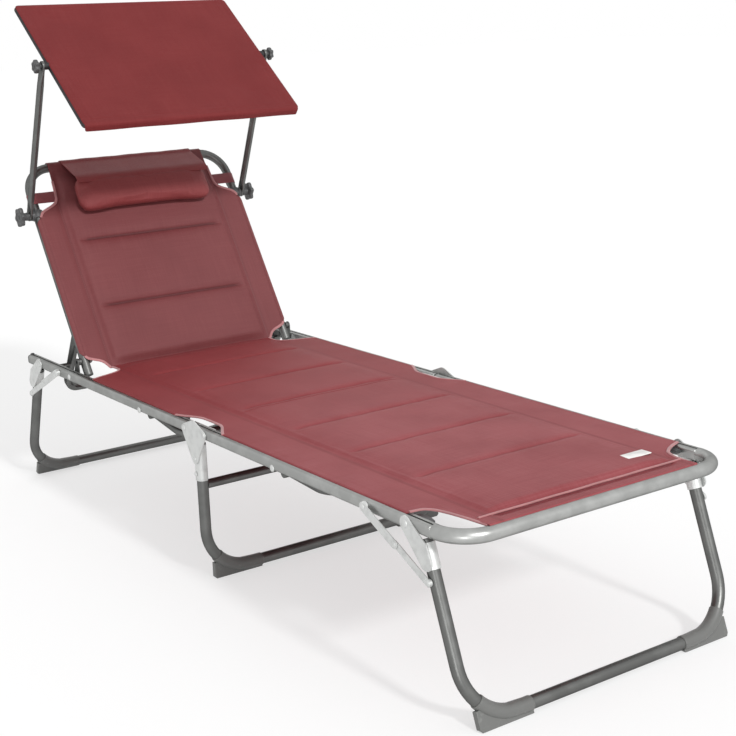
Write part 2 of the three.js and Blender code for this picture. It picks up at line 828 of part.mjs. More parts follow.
// A cloth with a pad: a strip of cross sections along a path. Each section gives, for the
// same columns, how far the lower and the upper skin stand off the path.
function clothStrip(sections) {
  const positions = [];
  const index = [];
  const columns = sections[0].columns.length;
  sections.forEach(({ y, z, lean, columns: across }) => {
    [0, 1].forEach((skin) => across.forEach(([x, low, high, upperX = x]) => {
      const off = skin ? high : low;
      positions.push(skin ? upperX : x, y - Math.sin(lean) * off, z + Math.cos(lean) * off);
    }));
  });
  const at = (i, skin, j) => (i * 2 + skin) * columns + j;
  const quad = (a, b, c, d) => index.push(a, b, c, a, c, d);
  for (let i = 0; i < sections.length - 1; i += 1) {
    for (let j = 0; j < columns - 1; j += 1) {
      quad(at(i, 1, j), at(i, 1, j + 1), at(i + 1, 1, j + 1), at(i + 1, 1, j));
      quad(at(i, 0, j), at(i + 1, 0, j), at(i + 1, 0, j + 1), at(i, 0, j + 1));
    }
    const end = columns - 1;
    quad(at(i, 0, 0), at(i, 1, 0), at(i + 1, 1, 0), at(i + 1, 0, 0));
    quad(at(i, 0, end), at(i + 1, 0, end), at(i + 1, 1, end), at(i, 1, end));
  }
  const last = sections.length - 1;
  for (let j = 0; j < columns - 1; j += 1) {
    quad(at(0, 0, j), at(0, 0, j + 1), at(0, 1, j + 1), at(0, 1, j));
    quad(at(last, 0, j), at(last, 1, j), at(last, 1, j + 1), at(last, 0, j + 1));
  }
  const geometry = new THREE.BufferGeometry();
  geometry.setAttribute('position', new THREE.Float32BufferAttribute(positions, 3));
  geometry.setIndex(index);
  return geometry;
}

// How the pad swells: full between its seams and side edges, drawn in at them
const padShares = [0, 0.45, 0.85, 0.96, 1];
const seamShares = [-1, -0.85, 0, 0.85];

function swell(across, along) {
  return (1 - across ** 6) * (1 - along ** 4);
}

// Offsets across half the cloth from its middle to its edge, mirrored to both sides
function halfColumns(half, along, seated, flat) {
  const pad = Math.min(padHalf, half - clothThick * 3);
  const columns = padShares.map((share) => {
    const high = flat ? clothThick : clothThick + padRise + padCrown * swell(share, along);
    return [pad * share, -clothSink, high - clothSink];
  });
  columns.push([pad + clothThick, -clothSink, clothThick - clothSink]);
  const brim = half - clothHem - clear * 2;
  const inner = Math.max(Math.min(railInner - clear * 2, brim - clothThick), pad + clothThick * 1.5);
  columns.push([inner, clear, clothThick + clear]);
  columns.push([brim, clear, clothThick + clear]);
  const deep = seated ? clear - grooveDeep : clear;
  columns.push([half - clothHem, deep, clothThick + clear]);
  columns.push([half, deep, clothThick + clear]);
  return columns;
}

function fullColumns(columns) {
  const other = columns.slice(1).reverse().map(([x, low, high, upperX = x]) => [-x, low, high, -upperX]);
  return [...other, ...columns];
}

function clothSection(y, half, along, seated, flat = false) {
  return { y, z: railTop, lean: 0, columns: fullColumns(halfColumns(half, along, seated, flat)) };
}

// Rows between seams, spaced so that the swell keeps its round shoulders
function padRows(start, end, from, to, pitch) {
  const rows = [];
  for (let seam = from - pitch; seam < to + pitch; seam += pitch) {
    seamShares.forEach((share) => {
      const y = seam + (share + 1) * pitch / 2;
      if (y > start && y < end) rows.push([y, share]);
    });
  }
  return rows;
}

// Shares of the way through a cut-out, and of the width still left there
const seatCutShares = [[0.22, 0.75], [0.42, 0.3], [0.7, 0.08], [1, 0]];
const footCutShares = [[0.55, 0.05], [0.3, 0.28], [0.12, 0.7]];
const hingeShare = 0.7;
const hingeEndShare = 0.9;

function seatCloth() {
  const first = seatSeam - 2 * seamPitch;
  const shareAt = (y) => 2 * (((y - first) / seamPitch) % 1 + 1) % 2 - 1;
  const sections = [
    clothSection(railEndGap, hingeCutHalf, -hingeEndShare, false, true),
    clothSection(hingeCutPlace, hingeCutHalf, shareAt(hingeCutPlace), false),
    clothSection(hingeCutEnd, clothEdge, shareAt(hingeCutEnd), false),
    clothSection(hingeCutEnd + clear, clothEdge, shareAt(hingeCutEnd), true),
  ];
  padRows(hingeCutEnd + clothHem, backCutPlace - clothHem, first, seatSeam, seamPitch)
    .forEach(([y, share]) => sections.push(clothSection(y, clothEdge, share, true)));
  sections.push(clothSection(backCutPlace, clothEdge, 0, true));
  sections.push(clothSection(backCutPlace + clear, clothEdge, 0, false));
  const turn = creasePlace - backCutPlace;
  seatCutShares.forEach(([share, wide]) => {
    const half = backCutHalf + (clothEdge - backCutHalf) * wide;
    sections.push(clothSection(backCutPlace + turn * share, half, share, false));
  });
  return clothStrip(sections);
}

function footCloth() {
  const sections = [];
  const hinge = (y, half, seated, flat) => {
    sections.push(clothSection(-y, half, flat ? 1 : hingeShare, seated, flat));
  };
  footWrap().forEach((section) => sections.push(section));
  const turn = footBarPlace - footCutPlace;
  footCutShares.forEach(([share, wide]) => {
    const half = footCutHalf + (clothEdge - footCutHalf) * wide;
    sections.push(clothSection(-footCutPlace - turn * share, half, 1, false, true));
  });
  sections.push(clothSection(-footCutPlace - clear, clothEdge, 1, false, true));
  sections.push(clothSection(-footCutPlace, clothEdge, 1, true, true));
  const last = -footSeam - 2 * seamPitch;
  padRows(-footCutPlace + clothHem, -hingeCutEnd - clothHem, last, -footSeam, seamPitch)
    .forEach(([y, share]) => sections.push(clothSection(y, clothEdge, share, true, y < last - seamPitch)));
  hinge(hingeCutEnd + clear, clothEdge, true, false);
  hinge(hingeCutEnd, clothEdge, false, false);
  hinge(hingeCutPlace, hingeCutHalf, false, false);
  hinge(railEndGap, hingeCutHalf, false, true);
  return clothStrip(sections);
}

// A cloth's end turned round a bar: how far off the bar's middle it runs, and its turns
const wrapTurn = Math.PI * 0.95;

function wrapReach(radius) {
  return (radius + clear) / Math.cos(wrapTurn / wrapSteps / 2);
}

function wrapLeans() {
  return Array.from({ length: wrapSteps + 1 }, (_, i) => (wrapTurn * i) / wrapSteps);
}

const footWrapShares = [0, 0.42, 0.79, 0.89, 0.92, 0.94, 0.96, 0.98, 0.99, 1];

function footWrap() {
  const reach = wrapReach(footTubeRadius);
  const columns = footWrapShares.map((share) => [share * footWrapHalf, reach, reach + clothThick]);
  const across = fullColumns(columns);
  return wrapLeans().reverse()
    .map((lean) => ({ y: -footBarPlace, z: railHeight, lean, columns: across }));
}

// Back cloth, drawn flat from the back's hinge, with its top turned round the top bar
const backLevel = backRadius + clear - clothSink / 4;
const padHigh = backLevel + clothThick + padRise + padCrown;

function backColumns(half, along, wrap, flat) {
  const pad = Math.min(padHalf, half - clothThick * 3);
  const reach = backRadius + wrapPlay;
  const outer = reach + clothThick;
  const columns = padShares.map((share) => {
    const high = flat ? clothThick : clothThick + padRise + padCrown * swell(share, along);
    return [pad * share, backLevel, backLevel + high];
  });
  columns.push([pad + clothThick, backLevel, backLevel + clothThick]);
  columns.push([(pad + clothThick + half) / 2, reach, outer]);
  columns.push([half, reach, outer]);
  wrapTurns.forEach((down, i) => {
    const turn = Math.PI / 2 - down * wrap;
    const [cos, sin] = [Math.cos(turn), Math.sin(turn)];
    const x = half + (1 - wrap) * clothThick * (i + 1) / 2;
    columns.push([x + reach * cos, reach * sin, outer * sin, x + outer * cos]);
  });
  return columns;
}

// How far the cloth's side edge turns round the frame's tube
const wrapTurns = [THREE.MathUtils.degToRad(40), THREE.MathUtils.degToRad(80)];

const wrapStart = 0.5;

// Shares of the way from the cut-out's start to the narrow part, and of the width left
const backCutShares = [[0, 0.95], [0.15, 0.9], [0.42, 0.66], [0.75, 0.33], [1, 0.12]];
const backTopShare = 0.1;

// How near a seam the rows at the back's foot lie: shares of the way from a panel's middle
const footRowShares = [0.6, 0.9, 1, 0.9];

function backCloth() {
  const sections = [];
  const put = (s, half, along, wrap, flat = false) => {
    const columns = fullColumns(backColumns(half, along, wrap, flat));
    sections.push({ y: s, z: 0, lean: 0, columns });
  };
  const [low, middle, high] = backSeams;
  const [first, second, third, fourth] = footRowShares;
  put(-backHem, backCutHalf, first, 0);
  put(low / 3, backCutHalf + clothThick * 2, second, 0);
  put(low, backHalf, third, 0);
  put(low + backHem / 3, backHalf, fourth, wrapStart);
  panel(low, middle).forEach(([s, share]) => put(s, backHalf, share, 1));
  put(middle, backHalf, 1, 1);
  panel(middle, high).forEach(([s, share]) => put(s, backHalf, share, 1));
  put(high, backHalf, 1, 1);
  put(high + backHem / 2, backHalf, seamShares[1], 1);
  put(backWrapEnd - backHem / 3, backHalf, 0, wrapStart);
  put(backWrapEnd, backHalf, 0, 0);
  backCutShares.forEach(([share, wide]) => {
    const s = backCutTop + (backNarrow - backCutTop) * share;
    put(s, backTopHalf + (backHalf - backTopHalf) * wide, 0, 0);
  });
  put((backNarrow + backLength) / 2, backTopHalf + (backHalf - backTopHalf) * backTopShare, 0, 0);
  backWrap().forEach((section) => sections.push(section));
  return clothStrip(sections);
}

function panel(start, end) {
  return seamShares.slice(1).map((share) => [start + (end - start) * (share + 1) / 2, share]);
}

function backWrap() {
  const reach = wrapReach(backRadius);
  const columns = backColumns(backTopHalf, 0, 0, true).map(([x]) => [x, reach, reach + clothThick]);
  const across = fullColumns(columns);
  return wrapLeans().map((lean) => ({ y: backLength, z: 0, lean: -lean, columns: across }));
}

// Pillow on the upper back, with the flap that holds it over the top bar
const pillowShares = [[0.55, 0.93], [0.2, 0.6]];

function pillow() {
  const half = (pillowTop - pillowBottom) / 2;
  const lift = padHigh + clear;
  const deep = pillowThick / 2;
  const [[inner, innerHigh], [edge, edgeHigh]] = pillowShares;
  const rings = [
    [-half * inner, deep * innerHigh, deep],
    [-half * edge, deep * edgeHigh],
    [0, 0],
    [-half * edge, -deep * edgeHigh],
    [-half * inner, -deep * innerHigh, -deep],
  ];
  const body = cover(rings, pillowHalf, half, pillowCorner);
  body.translate(0, pillowBottom + half, lift + deep);
  return fuse(body, pillowFlap(lift + deep));
}

function pillowFlap(level) {
  const reach = wrapReach(backRadius) + clothThick + clear;
  const across = [-strapHalf, strapHalf];
  const sections = [];
  const put = (y, z, lean, off) => {
    sections.push({ y, z, lean, columns: across.map((x) => [x, off, off + clothThick]) });
  };
  put(pillowTop - clothThick * 4, level, 0, 0);
  put(pillowTop + clothThick, level - clothThick, -Math.PI / 6, 0);
  wrapLeans().forEach((lean) => put(backLength, 0, -lean, reach));
  return clothStrip(sections);
}

// Webbing handle: a strap bowed out below a far rail, sewn round two small tabs
function handle() {
  const sections = [];
  for (let i = 0; i <= strapSteps; i += 1) {
    const turn = Math.PI * i / strapSteps;
    const y = -handleHalf * Math.cos(turn);
    const z = -handleDrop * Math.sin(turn);
    const lean = Math.atan2(-handleDrop * Math.cos(turn), handleHalf * Math.sin(turn));
    const columns = [[0, -strapWide / 2, strapWide / 2], [strapThick, -strapWide / 2, strapWide / 2]];
    sections.push({ y, z, lean, columns });
  }
  return clothStrip(sections).translate(plateOuter, 0, 0);
}

// The scene graph: each moving body is a group placed at its pivot
function bodyAt(parent, y, z) {
  const body = new THREE.Group();
  const [parentY, parentZ] = parent.userData.pivot ?? [0, 0];
  body.position.set(0, y - parentY, z - parentZ);
  body.userData.pivot = [y, z];
  parent.add(body);
  return body;
}

// A mesh in a body: y, z are in the lounger's frame and turn is about X
function add(body, name, geometry, look, [y, z] = [0, 0], turn = 0) {
  const mesh = new THREE.Mesh(geometry, new THREE.MeshStandardMaterial(look));
  const [pivotY, pivotZ] = body.userData.pivot;
  mesh.name = name;
  mesh.position.set(0, y - pivotY, z - pivotZ);
  mesh.rotation.x = turn;
  body.add(mesh);
}

const bothSides = [[-1, 'left'], [1, 'right']];

function seatSection(lounger) {
  const seat = bodyAt(lounger, 0, 0);
  bothSides.forEach(([side, word]) => {
    add(seat, `seat_rail_${word}`, seatRail(side), graphite);
    add(seat, `rail_cap_${word}`, railCap(side), plastic);
    add(seat, `back_hinge_bracket_${word}`, hingeBracket(side), silver, [backPlace, backHeight]);
    add(seat, `rack_${word}`, rack(side), graphite);
  });
  add(seat, 'seat_bow', bow(), graphite, [seatBowPlace, railHeight - bowEndDrop]);
  add(seat, 'seat_cloth', seatCloth(), maroon);
  add(seat, 'seat_handle', handle(), maroon, [handlePlace, railHeight]);
  return seat;
}

function middleLeg(seat) {
  const leg = bodyAt(seat, foldPivot, railHeight);
  const length = middleLegTop - legFloor;
  const down = -Math.PI / 2;
  add(leg, 'middle_leg', legTube(length), graphite, [0, middleLegTop], down);
  add(leg, 'middle_leg_crossbar', rod(-plateInner, plateInner, crossRadius, 0, 0, tubeSides), graphite,
    [0, crossHeight]);
  bothSides.forEach(([side, word]) => {
    add(leg, `hinge_plate_outer_${word}`, outerHingePlate(side), silver);
    add(leg, `hinge_plate_inner_${word}`, innerHingePlate(side), silver);
    add(leg, `middle_shoe_${word}`, sided(shoe(length, 0), side), plastic, [0, middleLegTop], down);
  });
  return leg;
}

function footSection(middle) {
  const foot = bodyAt(middle, -foldPivot, railHeight);
  bothSides.forEach(([side, word]) => {
    add(foot, `foot_rail_${word}`, footRail(side), graphite);
  });
  add(foot, 'foot_end_tube', footEnd(), graphite);
  add(foot, 'foot_bow', bow(), graphite, [-footBowPlace, railHeight - bowEndDrop]);
  add(foot, 'foot_cloth', footCloth(), maroon);
  add(foot, 'foot_handle', handle(), maroon, [-handlePlace, railHeight]);
  return foot;
}

// A splayed end leg with its stays; the foot end is the head end turned half round
function endLeg(section, word, place, half) {
  const away = half ? -1 : 1;
  const leg = bodyAt(section, place, railHeight);
  const upper = bodyAt(section, place - away * stayPlace, railHeight);
  const lower = bodyAt(leg, place + stayFoot.x, railHeight + stayFoot.y);
  leg.rotation.z = half;
  upper.rotation.z = half;
  const top = onLeg(endLegTop);
  const tubeAt = [place + top.x, endLegTop];
  const down = splay - Math.PI / 2;
  add(leg, `${word}_leg`, endLegTube(), graphite, tubeAt, down);
  bothSides.forEach(([side]) => {
    const at = [place, railHeight];
    const name = side * away < 0 ? 'left' : 'right';
    add(leg, `${word}_leg_bracket_${name}`, legBracket(side), silver, at);
    add(leg, `${word}_shoe_${name}`, sided(shoe(endLegLength, splay), side), plastic, tubeAt, down);
    add(upper, `${word}_stay_upper_${name}`, upperStay(side), silver, upper.userData.pivot);
    add(lower, `${word}_stay_lower_${name}`, lowerStay(side), silver, lower.userData.pivot);
  });
}

// A place on the tilted back: how far along it, in the lounger's frame
function onBack(along) {
  return [backPlace + Math.cos(backTilt) * along, backHeight + Math.sin(backTilt) * along];
}

function backSection(seat) {
  const back = bodyAt(seat, backPlace, backHeight);
  const at = [backPlace, backHeight];
  const collarAt = onBack(collarPlace);
  add(back, 'back_frame', backFrame(), graphite, at, backTilt);
  add(back, 'back_cloth', backCloth(), maroon, at, backTilt);
  add(back, 'pillow', pillow(), maroon, at, backTilt);
  bothSides.forEach(([side, word]) => {
    add(back, `arm_collar_${word}`, collar(side), plastic, collarAt, backTilt);
    const screw = bodyAt(back, ...collarAt);
    add(screw, `arm_knob_${word}`, knob(side, armKnobNeck), plastic, collarAt);
  });
  return back;
}

function standBody(back) {
  const pivot = standPivotPlace();
  const pin = standPinPlace();
  const body = bodyAt(back, ...pivot);
  const turn = Math.atan2(pin[1] - pivot[1], pin[0] - pivot[0]);
  add(body, 'back_stand', stand(), graphite, pivot, turn);
}

function canopy(back) {
  const foot = onBack(collarPlace);
  const head = [shadePlace, shadeHeight];
  const arms = bodyAt(back, ...foot);
  const length = Math.hypot(head[0] - foot[0], head[1] - foot[1]);
  const turn = Math.atan2(head[1] - foot[1], head[0] - foot[0]);
  const shade = bodyAt(arms, ...head);
  add(shade, 'canopy_frame', canopyFrame(), graphite, head, shadeTilt);
  add(shade, 'canopy_cloth', canopyCloth(), maroon, head, shadeTilt);
  bothSides.forEach(([side, word]) => {
    add(arms, `canopy_arm_${word}`, canopyArm(side, length), graphite, foot, turn);
    const screw = bodyAt(arms, ...head);
    add(screw, `canopy_knob_${word}`, knob(side, shadeKnobNeck), plastic, head);
  });
}

// The whole lounger, with its origin on the floor under the middle of its box
function buildLounger() {
  const lounger = new THREE.Group();
  const seat = seatSection(lounger);
  const foot = footSection(middleLeg(seat));
  endLeg(seat, 'rear', rearLegPlace, 0);
  endLeg(foot, 'foot', -footLegPlace, Math.PI);
  const back = backSection(seat);
  standBody(back);
  canopy(back);
  const middle = new THREE.Box3().setFromObject(lounger, true).getCenter(new THREE.Vector3());
  lounger.position.set(-middle.x, -middle.y, 0);
  return lounger;
}

export default buildLounger();
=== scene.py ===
import math

import bmesh
import bpy
import numpy as np
from mathutils import Matrix


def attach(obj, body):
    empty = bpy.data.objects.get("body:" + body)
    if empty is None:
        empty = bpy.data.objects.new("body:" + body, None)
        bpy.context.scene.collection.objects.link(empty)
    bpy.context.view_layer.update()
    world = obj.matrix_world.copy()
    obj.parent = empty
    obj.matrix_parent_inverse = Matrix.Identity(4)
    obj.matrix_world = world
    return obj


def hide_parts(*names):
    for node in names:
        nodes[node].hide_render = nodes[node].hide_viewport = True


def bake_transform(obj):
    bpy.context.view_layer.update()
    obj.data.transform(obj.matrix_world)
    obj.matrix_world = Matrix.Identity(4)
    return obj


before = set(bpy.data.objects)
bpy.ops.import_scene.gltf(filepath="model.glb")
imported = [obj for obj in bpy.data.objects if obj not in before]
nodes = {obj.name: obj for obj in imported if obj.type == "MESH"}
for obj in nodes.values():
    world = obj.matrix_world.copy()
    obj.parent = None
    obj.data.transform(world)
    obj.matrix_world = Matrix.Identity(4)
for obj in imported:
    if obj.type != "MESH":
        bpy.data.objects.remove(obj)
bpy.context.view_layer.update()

print("frame loaded:", len(nodes), "nodes")

# Shapes are worked out in millimetres in the lounger's own drawing, which lies
# 32 mm further along Y than the row frame.
rowShift = np.array([0.0, -32.0, 0.0])
left, right = -1, 1
sides = ((left, "left"), (right, "right"))


# Small tools for shapes. Every shape is a pair (points, faces).

# A circle of points round the section's middle
def circle(radius, count=28):
    turn = np.linspace(0, 2 * np.pi, count, endpoint=False)
    return np.stack([radius * np.cos(turn), radius * np.sin(turn)], 1)


# A rectangle whose corners are quarter circles
def roundedBox(halfWide, halfTall, corner, count=6):
    turn = np.linspace(0, np.pi / 2, count)
    middles = [(halfWide - corner, halfTall - corner), (corner - halfWide, halfTall - corner),
               (corner - halfWide, corner - halfTall), (halfWide - corner, corner - halfTall)]
    arcs = [np.stack([x + corner * np.cos(turn + i * np.pi / 2),
                      y + corner * np.sin(turn + i * np.pi / 2)], 1) for i, (x, y) in enumerate(middles)]
    return np.concatenate(arcs)


# Faces of a grid of points; closed round its columns where it is a tube
def gridFaces(rows, cols, closed=True):
    i, j = np.meshgrid(np.arange(rows - 1), np.arange(cols if closed else cols - 1), indexing="ij")
    k = (j + 1) % cols
    quads = np.stack([i * cols + j, i * cols + k, (i + 1) * cols + k, (i + 1) * cols + j], -1)
    return quads.reshape(-1, 4).tolist()


# Rings of equal length joined into a tube, with a flat end at each side
def tubeOf(rings):
    rows, cols = rings.shape[:2]
    faces = gridFaces(rows, cols)
    faces.append(list(range(cols))[::-1])
    faces.append(list(range((rows - 1) * cols, rows * cols)))
    return rings.reshape(-1, 3), faces


# A section carried along a path in a plane: point + u * (heading x normal) + v * normal
def sweep(path, heading, section, normal=(0, 0, 1)):
    normal = np.broadcast_to(np.asarray(normal, float), heading.shape)
    side = np.cross(heading, normal)
    side /= np.linalg.norm(side, axis=1)[:, None]
    rings = path[:, None] + section[None, :, :1] * side[:, None] + section[None, :, 1:] * normal[:, None]
    return tubeOf(rings)


# Headings along any path, from each point's neighbours
def headings(path):
    step = np.gradient(path, axis=0)
    return step / np.linalg.norm(step, axis=1)[:, None]


# A U lying flat: up one arm, round two bends of one radius, and down the other arm
def uPath(half, length, corner, steps=15):
    turn = np.linspace(0, np.pi / 2, steps)
    bend = np.stack([corner * (1 - np.cos(turn)) - half, length - corner * (1 - np.sin(turn))], 1)
    flat = np.concatenate([[[-half, 0]], bend, bend[::-1] * [-1, 1], [[half, 0]]])
    angle = np.concatenate([[np.pi / 2], np.pi / 2 - turn, turn[::-1] - np.pi / 2, [-np.pi / 2]])
    path = np.column_stack([flat, np.zeros(len(flat))])
    return path, np.column_stack([np.cos(angle), np.sin(angle), np.zeros(len(flat))])


def uTube(half, length, corner, section):
    return sweep(*uPath(half, length, corner), section)


# A profile of (x, radius) turned round the X axis and moved to y, z
def lathe(profile, y, z, count=28):
    profile = np.asarray(profile, float)
    turn = np.linspace(0, 2 * np.pi, count, endpoint=False)
    rings = np.stack([np.broadcast_to(profile[:, :1], (len(profile), count)),
                      y + profile[:, 1:] * np.cos(turn), z + profile[:, 1:] * np.sin(turn)], -1)
    return tubeOf(rings)


def pin(start, end, radius, y, z, count=20):
    return lathe([(start, radius), (end, radius)], y, z, count)


# A rivet's head: a low dome with a small rim, standing on the face at x = start
def rivet(start, way, y, z, radius=6.8, high=2.6):
    turn = np.linspace(0, np.pi / 2 * 0.97, 7)
    dome = [(start + way * (0.5 + (high - 0.5) * math.sin(t)), radius * 0.94 * math.cos(t)) for t in turn]
    return lathe([(start - way * 0.4, radius), (start + way * 0.5, radius)] + dome, y, z, 22)


# The outline round several circles, as a belt would lie
def belt(circles, count=9):
    arcs = []
    total = len(circles)
    tangent = []
    for i, (x, y, r) in enumerate(circles):
        nx, ny, nr = circles[(i + 1) % total]
        tangent.append(math.atan2(ny - y, nx - x) - math.acos((r - nr) / math.hypot(nx - x, ny - y)))
    for i, (x, y, r) in enumerate(circles):
        start, end = tangent[i - 1], tangent[i]
        end += 2 * math.pi * (end < start - 1e-9)
        turn = np.linspace(start, end, count)
        arcs.append(np.stack([x + r * np.cos(turn), y + r * np.sin(turn)], 1))
    return np.concatenate(arcs)


# A flat outline in Y and Z given its thickness along X
def plate(outline, start, end):
    rings = np.stack([np.column_stack([np.full(len(outline), x), outline]) for x in (start, end)])
    return tubeOf(rings)


def join(*shapes):
    points, faces, first = [], [], 0
    for p, f in shapes:
        points.append(np.asarray(p, float))
        faces += [[k + first for k in face] for face in f]
        first += len(p)
    return np.concatenate(points), faces


# Moves: turned about X and set down at y, z; half a turn about Z; and the other side
def placed(shape, y=0.0, z=0.0, turn=0.0, x=0.0):
    points, faces = shape
    across, along, up = points.T
    c, s = math.cos(turn), math.sin(turn)
    return np.column_stack([across + x, y + along * c - up * s, z + along * s + up * c]), faces


def halfTurned(shape, flip):
    return (shape[0] * [-1, -1, 1], shape[1]) if flip else shape


def onSide(shape, side):
    return (shape[0] * [-1, 1, 1], [f[::-1] for f in shape[1]]) if side < 0 else shape


# A smooth line through given points, level where they level out
def curveThrough(xs, ys, at):
    xs, ys = np.asarray(xs, float), np.asarray(ys, float)
    slope = np.diff(ys) / np.diff(xs)
    product, total = slope[1:] * slope[:-1], slope[1:] + slope[:-1]
    between = np.where(product > 0, 2 * product / np.where(total == 0, 1, total), 0)
    lean = np.concatenate([[slope[0]], between, [slope[-1]]])
    at = np.clip(at, xs[0], xs[-1])
    i = np.clip(np.searchsorted(xs, at) - 1, 0, len(xs) - 2)
    h = xs[i + 1] - xs[i]
    t = (at - xs[i]) / h
    return ((1 + 2 * t) * (1 - t) ** 2 * ys[i] + t * (1 - t) ** 2 * h * lean[i]
            + t * t * (3 - 2 * t) * ys[i + 1] + t * t * (t - 1) * h * lean[i + 1])


# 3t^2 - 2t^3, held at 0 below t = 0 and at 1 above t = 1
def smooth(t):
    t = np.clip(t, 0, 1)
    return t * t * (3 - 2 * t)


# The same rise from 0 to 1 between the two ends of a span
def rising(at, span):
    start, end = span
    return smooth((at - start) / (end - start))


# Gives each corner of a face its point's place on the cloth, in metres across and along it
def clothMap(mesh, uv):
    layer = mesh.uv_layers.new(name="cloth")
    corner = np.empty(len(mesh.loops), np.int32)
    mesh.loops.foreach_get("vertex_index", corner)
    layer.data.foreach_set("uv", np.asarray(uv, np.float32)[corner].ravel())


# Turns a closed shape into an object in metres at the origin, facing outwards
def makePiece(name, shape, material, body=None, swaps=(), bevel=0.0, sharp=40, uv=None):
    points, faces = shape
    mesh = bpy.data.meshes.new(name)
    mesh.from_pydata(((np.asarray(points) + rowShift) * 0.001).tolist(), [], faces)
    if uv is not None:
        clothMap(mesh, uv)
    work = bmesh.new()
    work.from_mesh(mesh)
    bmesh.ops.recalc_face_normals(work, faces=work.faces)
    work.to_mesh(mesh)
    work.free()
    mesh.polygons.foreach_set("use_smooth", np.ones(len(mesh.polygons), bool))
    mesh.set_sharp_from_angle(angle=math.radians(sharp))
    mesh.materials.append(material)
    piece = bpy.data.objects.new(name, mesh)
    bpy.context.scene.collection.objects.link(piece)
    if bevel:
        edge = piece.modifiers.new("edge", "BEVEL")
        edge.width = bevel * 0.001
        edge.segments = 2
        edge.limit_method = "ANGLE"
        edge.angle_limit = math.radians(50)
        edge.harden_normals = False
    if body:
        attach(piece, body)
    if swaps:
        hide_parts(*swaps)
    return piece


# Materials

# A node's output; arithmetic on it adds Math nodes
class Wire:
    def __init__(self, paint, socket):
        self.paint = paint
        self.socket = socket

    def math(self, operation, *others):
        values = {i: value for i, value in enumerate((self, *others))}
        return self.paint.make("ShaderNodeMath", values, operation=operation)

    def __add__(self, other):
        return self.math("ADD", other)

    def __sub__(self, other):
        return self.math("SUBTRACT", other)

    def __rsub__(self, other):
        return self.paint.make("ShaderNodeMath", {0: other, 1: self}, operation="SUBTRACT")

    def __mul__(self, other):
        return self.math("MULTIPLY", other)

    __radd__ = __add__
    __rmul__ = __mul__

    def sine(self):
        return self.math("SINE")

    def size(self):
        return self.math("ABSOLUTE")

    def ramp(self, low, high):
        values = {0: self, 1: low, 2: high}
        return self.paint.make("ShaderNodeMapRange", values, interpolation_type="SMOOTHSTEP")


# One material; make() adds any node, and the short methods below it the usual ones
class Paint:
    def __init__(self, name, color, roughness, metallic=0.0, **fixed):
        self.material = bpy.data.materials.new(name)
        self.material.use_nodes = True
        self.tree = self.material.node_tree
        self.shader = self.tree.nodes["Principled BSDF"]
        self.put(self.shader.inputs["Base Color"], (*color, 1))
        self.put(self.shader.inputs["Roughness"], roughness)
        self.put(self.shader.inputs["Metallic"], metallic)
        for key, value in fixed.items():
            self.put(self.shader.inputs[key.replace("_", " ")], value)

    def put(self, socket, value):
        if isinstance(value, Wire):
            self.tree.links.new(value.socket, socket)
        else:
            socket.default_value = value

    def make(self, kind, values=None, out=0, **settings):
        node = self.tree.nodes.new(kind)
        for key, value in settings.items():
            setattr(node, key, value)
        for key, value in (values or {}).items():
            self.put(node.inputs[key], value)
        return Wire(self, node.outputs[out])

    def place(self):
        return self.make("ShaderNodeTexCoord", out="Object")

    def uv(self):
        parts = self.make("ShaderNodeUVMap", uv_map="cloth")
        both = self.make("ShaderNodeSeparateXYZ", {0: parts})
        return parts, both, Wire(self, both.socket.node.outputs[1])

    def noise(self, where, scale, detail=2.0):
        return self.make("ShaderNodeTexNoise", {"Vector": where, "Scale": scale, "Detail": detail})

    def stretch(self, where, scale):
        return self.make("ShaderNodeVectorMath", {0: where, 1: scale}, operation="MULTIPLY")

    def mix(self, share, first, second):
        node = self.make("ShaderNodeMix", data_type="RGBA", out=2)
        inputs = node.socket.node.inputs
        self.put(inputs[0], share)
        self.put(inputs[6], first if isinstance(first, Wire) else (*first, 1))
        self.put(inputs[7], second if isinstance(second, Wire) else (*second, 1))
        return node

    def bump(self, height, depth, strength=1.0):
        wire = self.make("ShaderNodeBump", {"Height": height, "Distance": depth, "Strength": strength})
        self.put(self.shader.inputs["Normal"], wire)

    def set(self, **links):
        for key, value in links.items():
            self.put(self.shader.inputs[key.replace("_", " ")], value)


tubeLook = {"color": (0.14, 0.142, 0.138), "roughness": 0.4, "metallic": 0.9}
# The rails and end bar have the same powder coat as the tubes, painted lighter: painted light for the light
# their faces catch.
litRailLook = {"color": (0.37, 0.375, 0.366), "roughness": 0.38, "metallic": 0.9}
darkLook = {"color": (0.045, 0.043, 0.044), "roughness": 0.4, "metallic": 0.6}
sheetLook = {"color": (0.62, 0.63, 0.62), "roughness": 0.4, "metallic": 0.7}
plasticLook = {"color": (0.06, 0.061, 0.062), "roughness": 0.5}
shoeLook = {"color": (0.125, 0.127, 0.122), "roughness": 0.45}
clothLook = {"dark": (0.2, 0.022, 0.026), "plain": (0.275, 0.036, 0.041), "light": (0.335, 0.06, 0.065),
             "thread": (0.36, 0.12, 0.125), "weave": 0.0013, "stitch": 0.0046, "streak": (420.0, 9.0, 1.0),
             "cross": (9.0, 420.0, 1.0), "roughness": 0.62, "sheen": 0.02}
# Each tone below is partly the textile's own colour and partly painted light: the one cloth is made lighter
# or darker per piece to match how it is lit. bedLook's foot factors paint a sheen near the foot end, and each
# depth sets how dark the painted crease shadows are.
bedLook = {"toneAndLight": (0.74, 0.71, 0.71), "seam": 0.2075, "depth": 0.3, "gloss": 0.2, "foot": (1.35, 2.3, 2.3),
           "creaseShadows": (0.391, 0.204, 0.017, -0.17, -0.357, -0.544)}
backLook = {"toneAndLight": (0.53, 0.65, 0.64), "seam": 0.2075, "depth": 0.6, "creaseShadows": (0.117, 0.283)}
shadeLook = {"toneAndLight": (0.56, 0.515, 0.48), "gloss": 0.15}
pillowLook = {"toneAndLight": (0.74, 0.73, 0.69)}


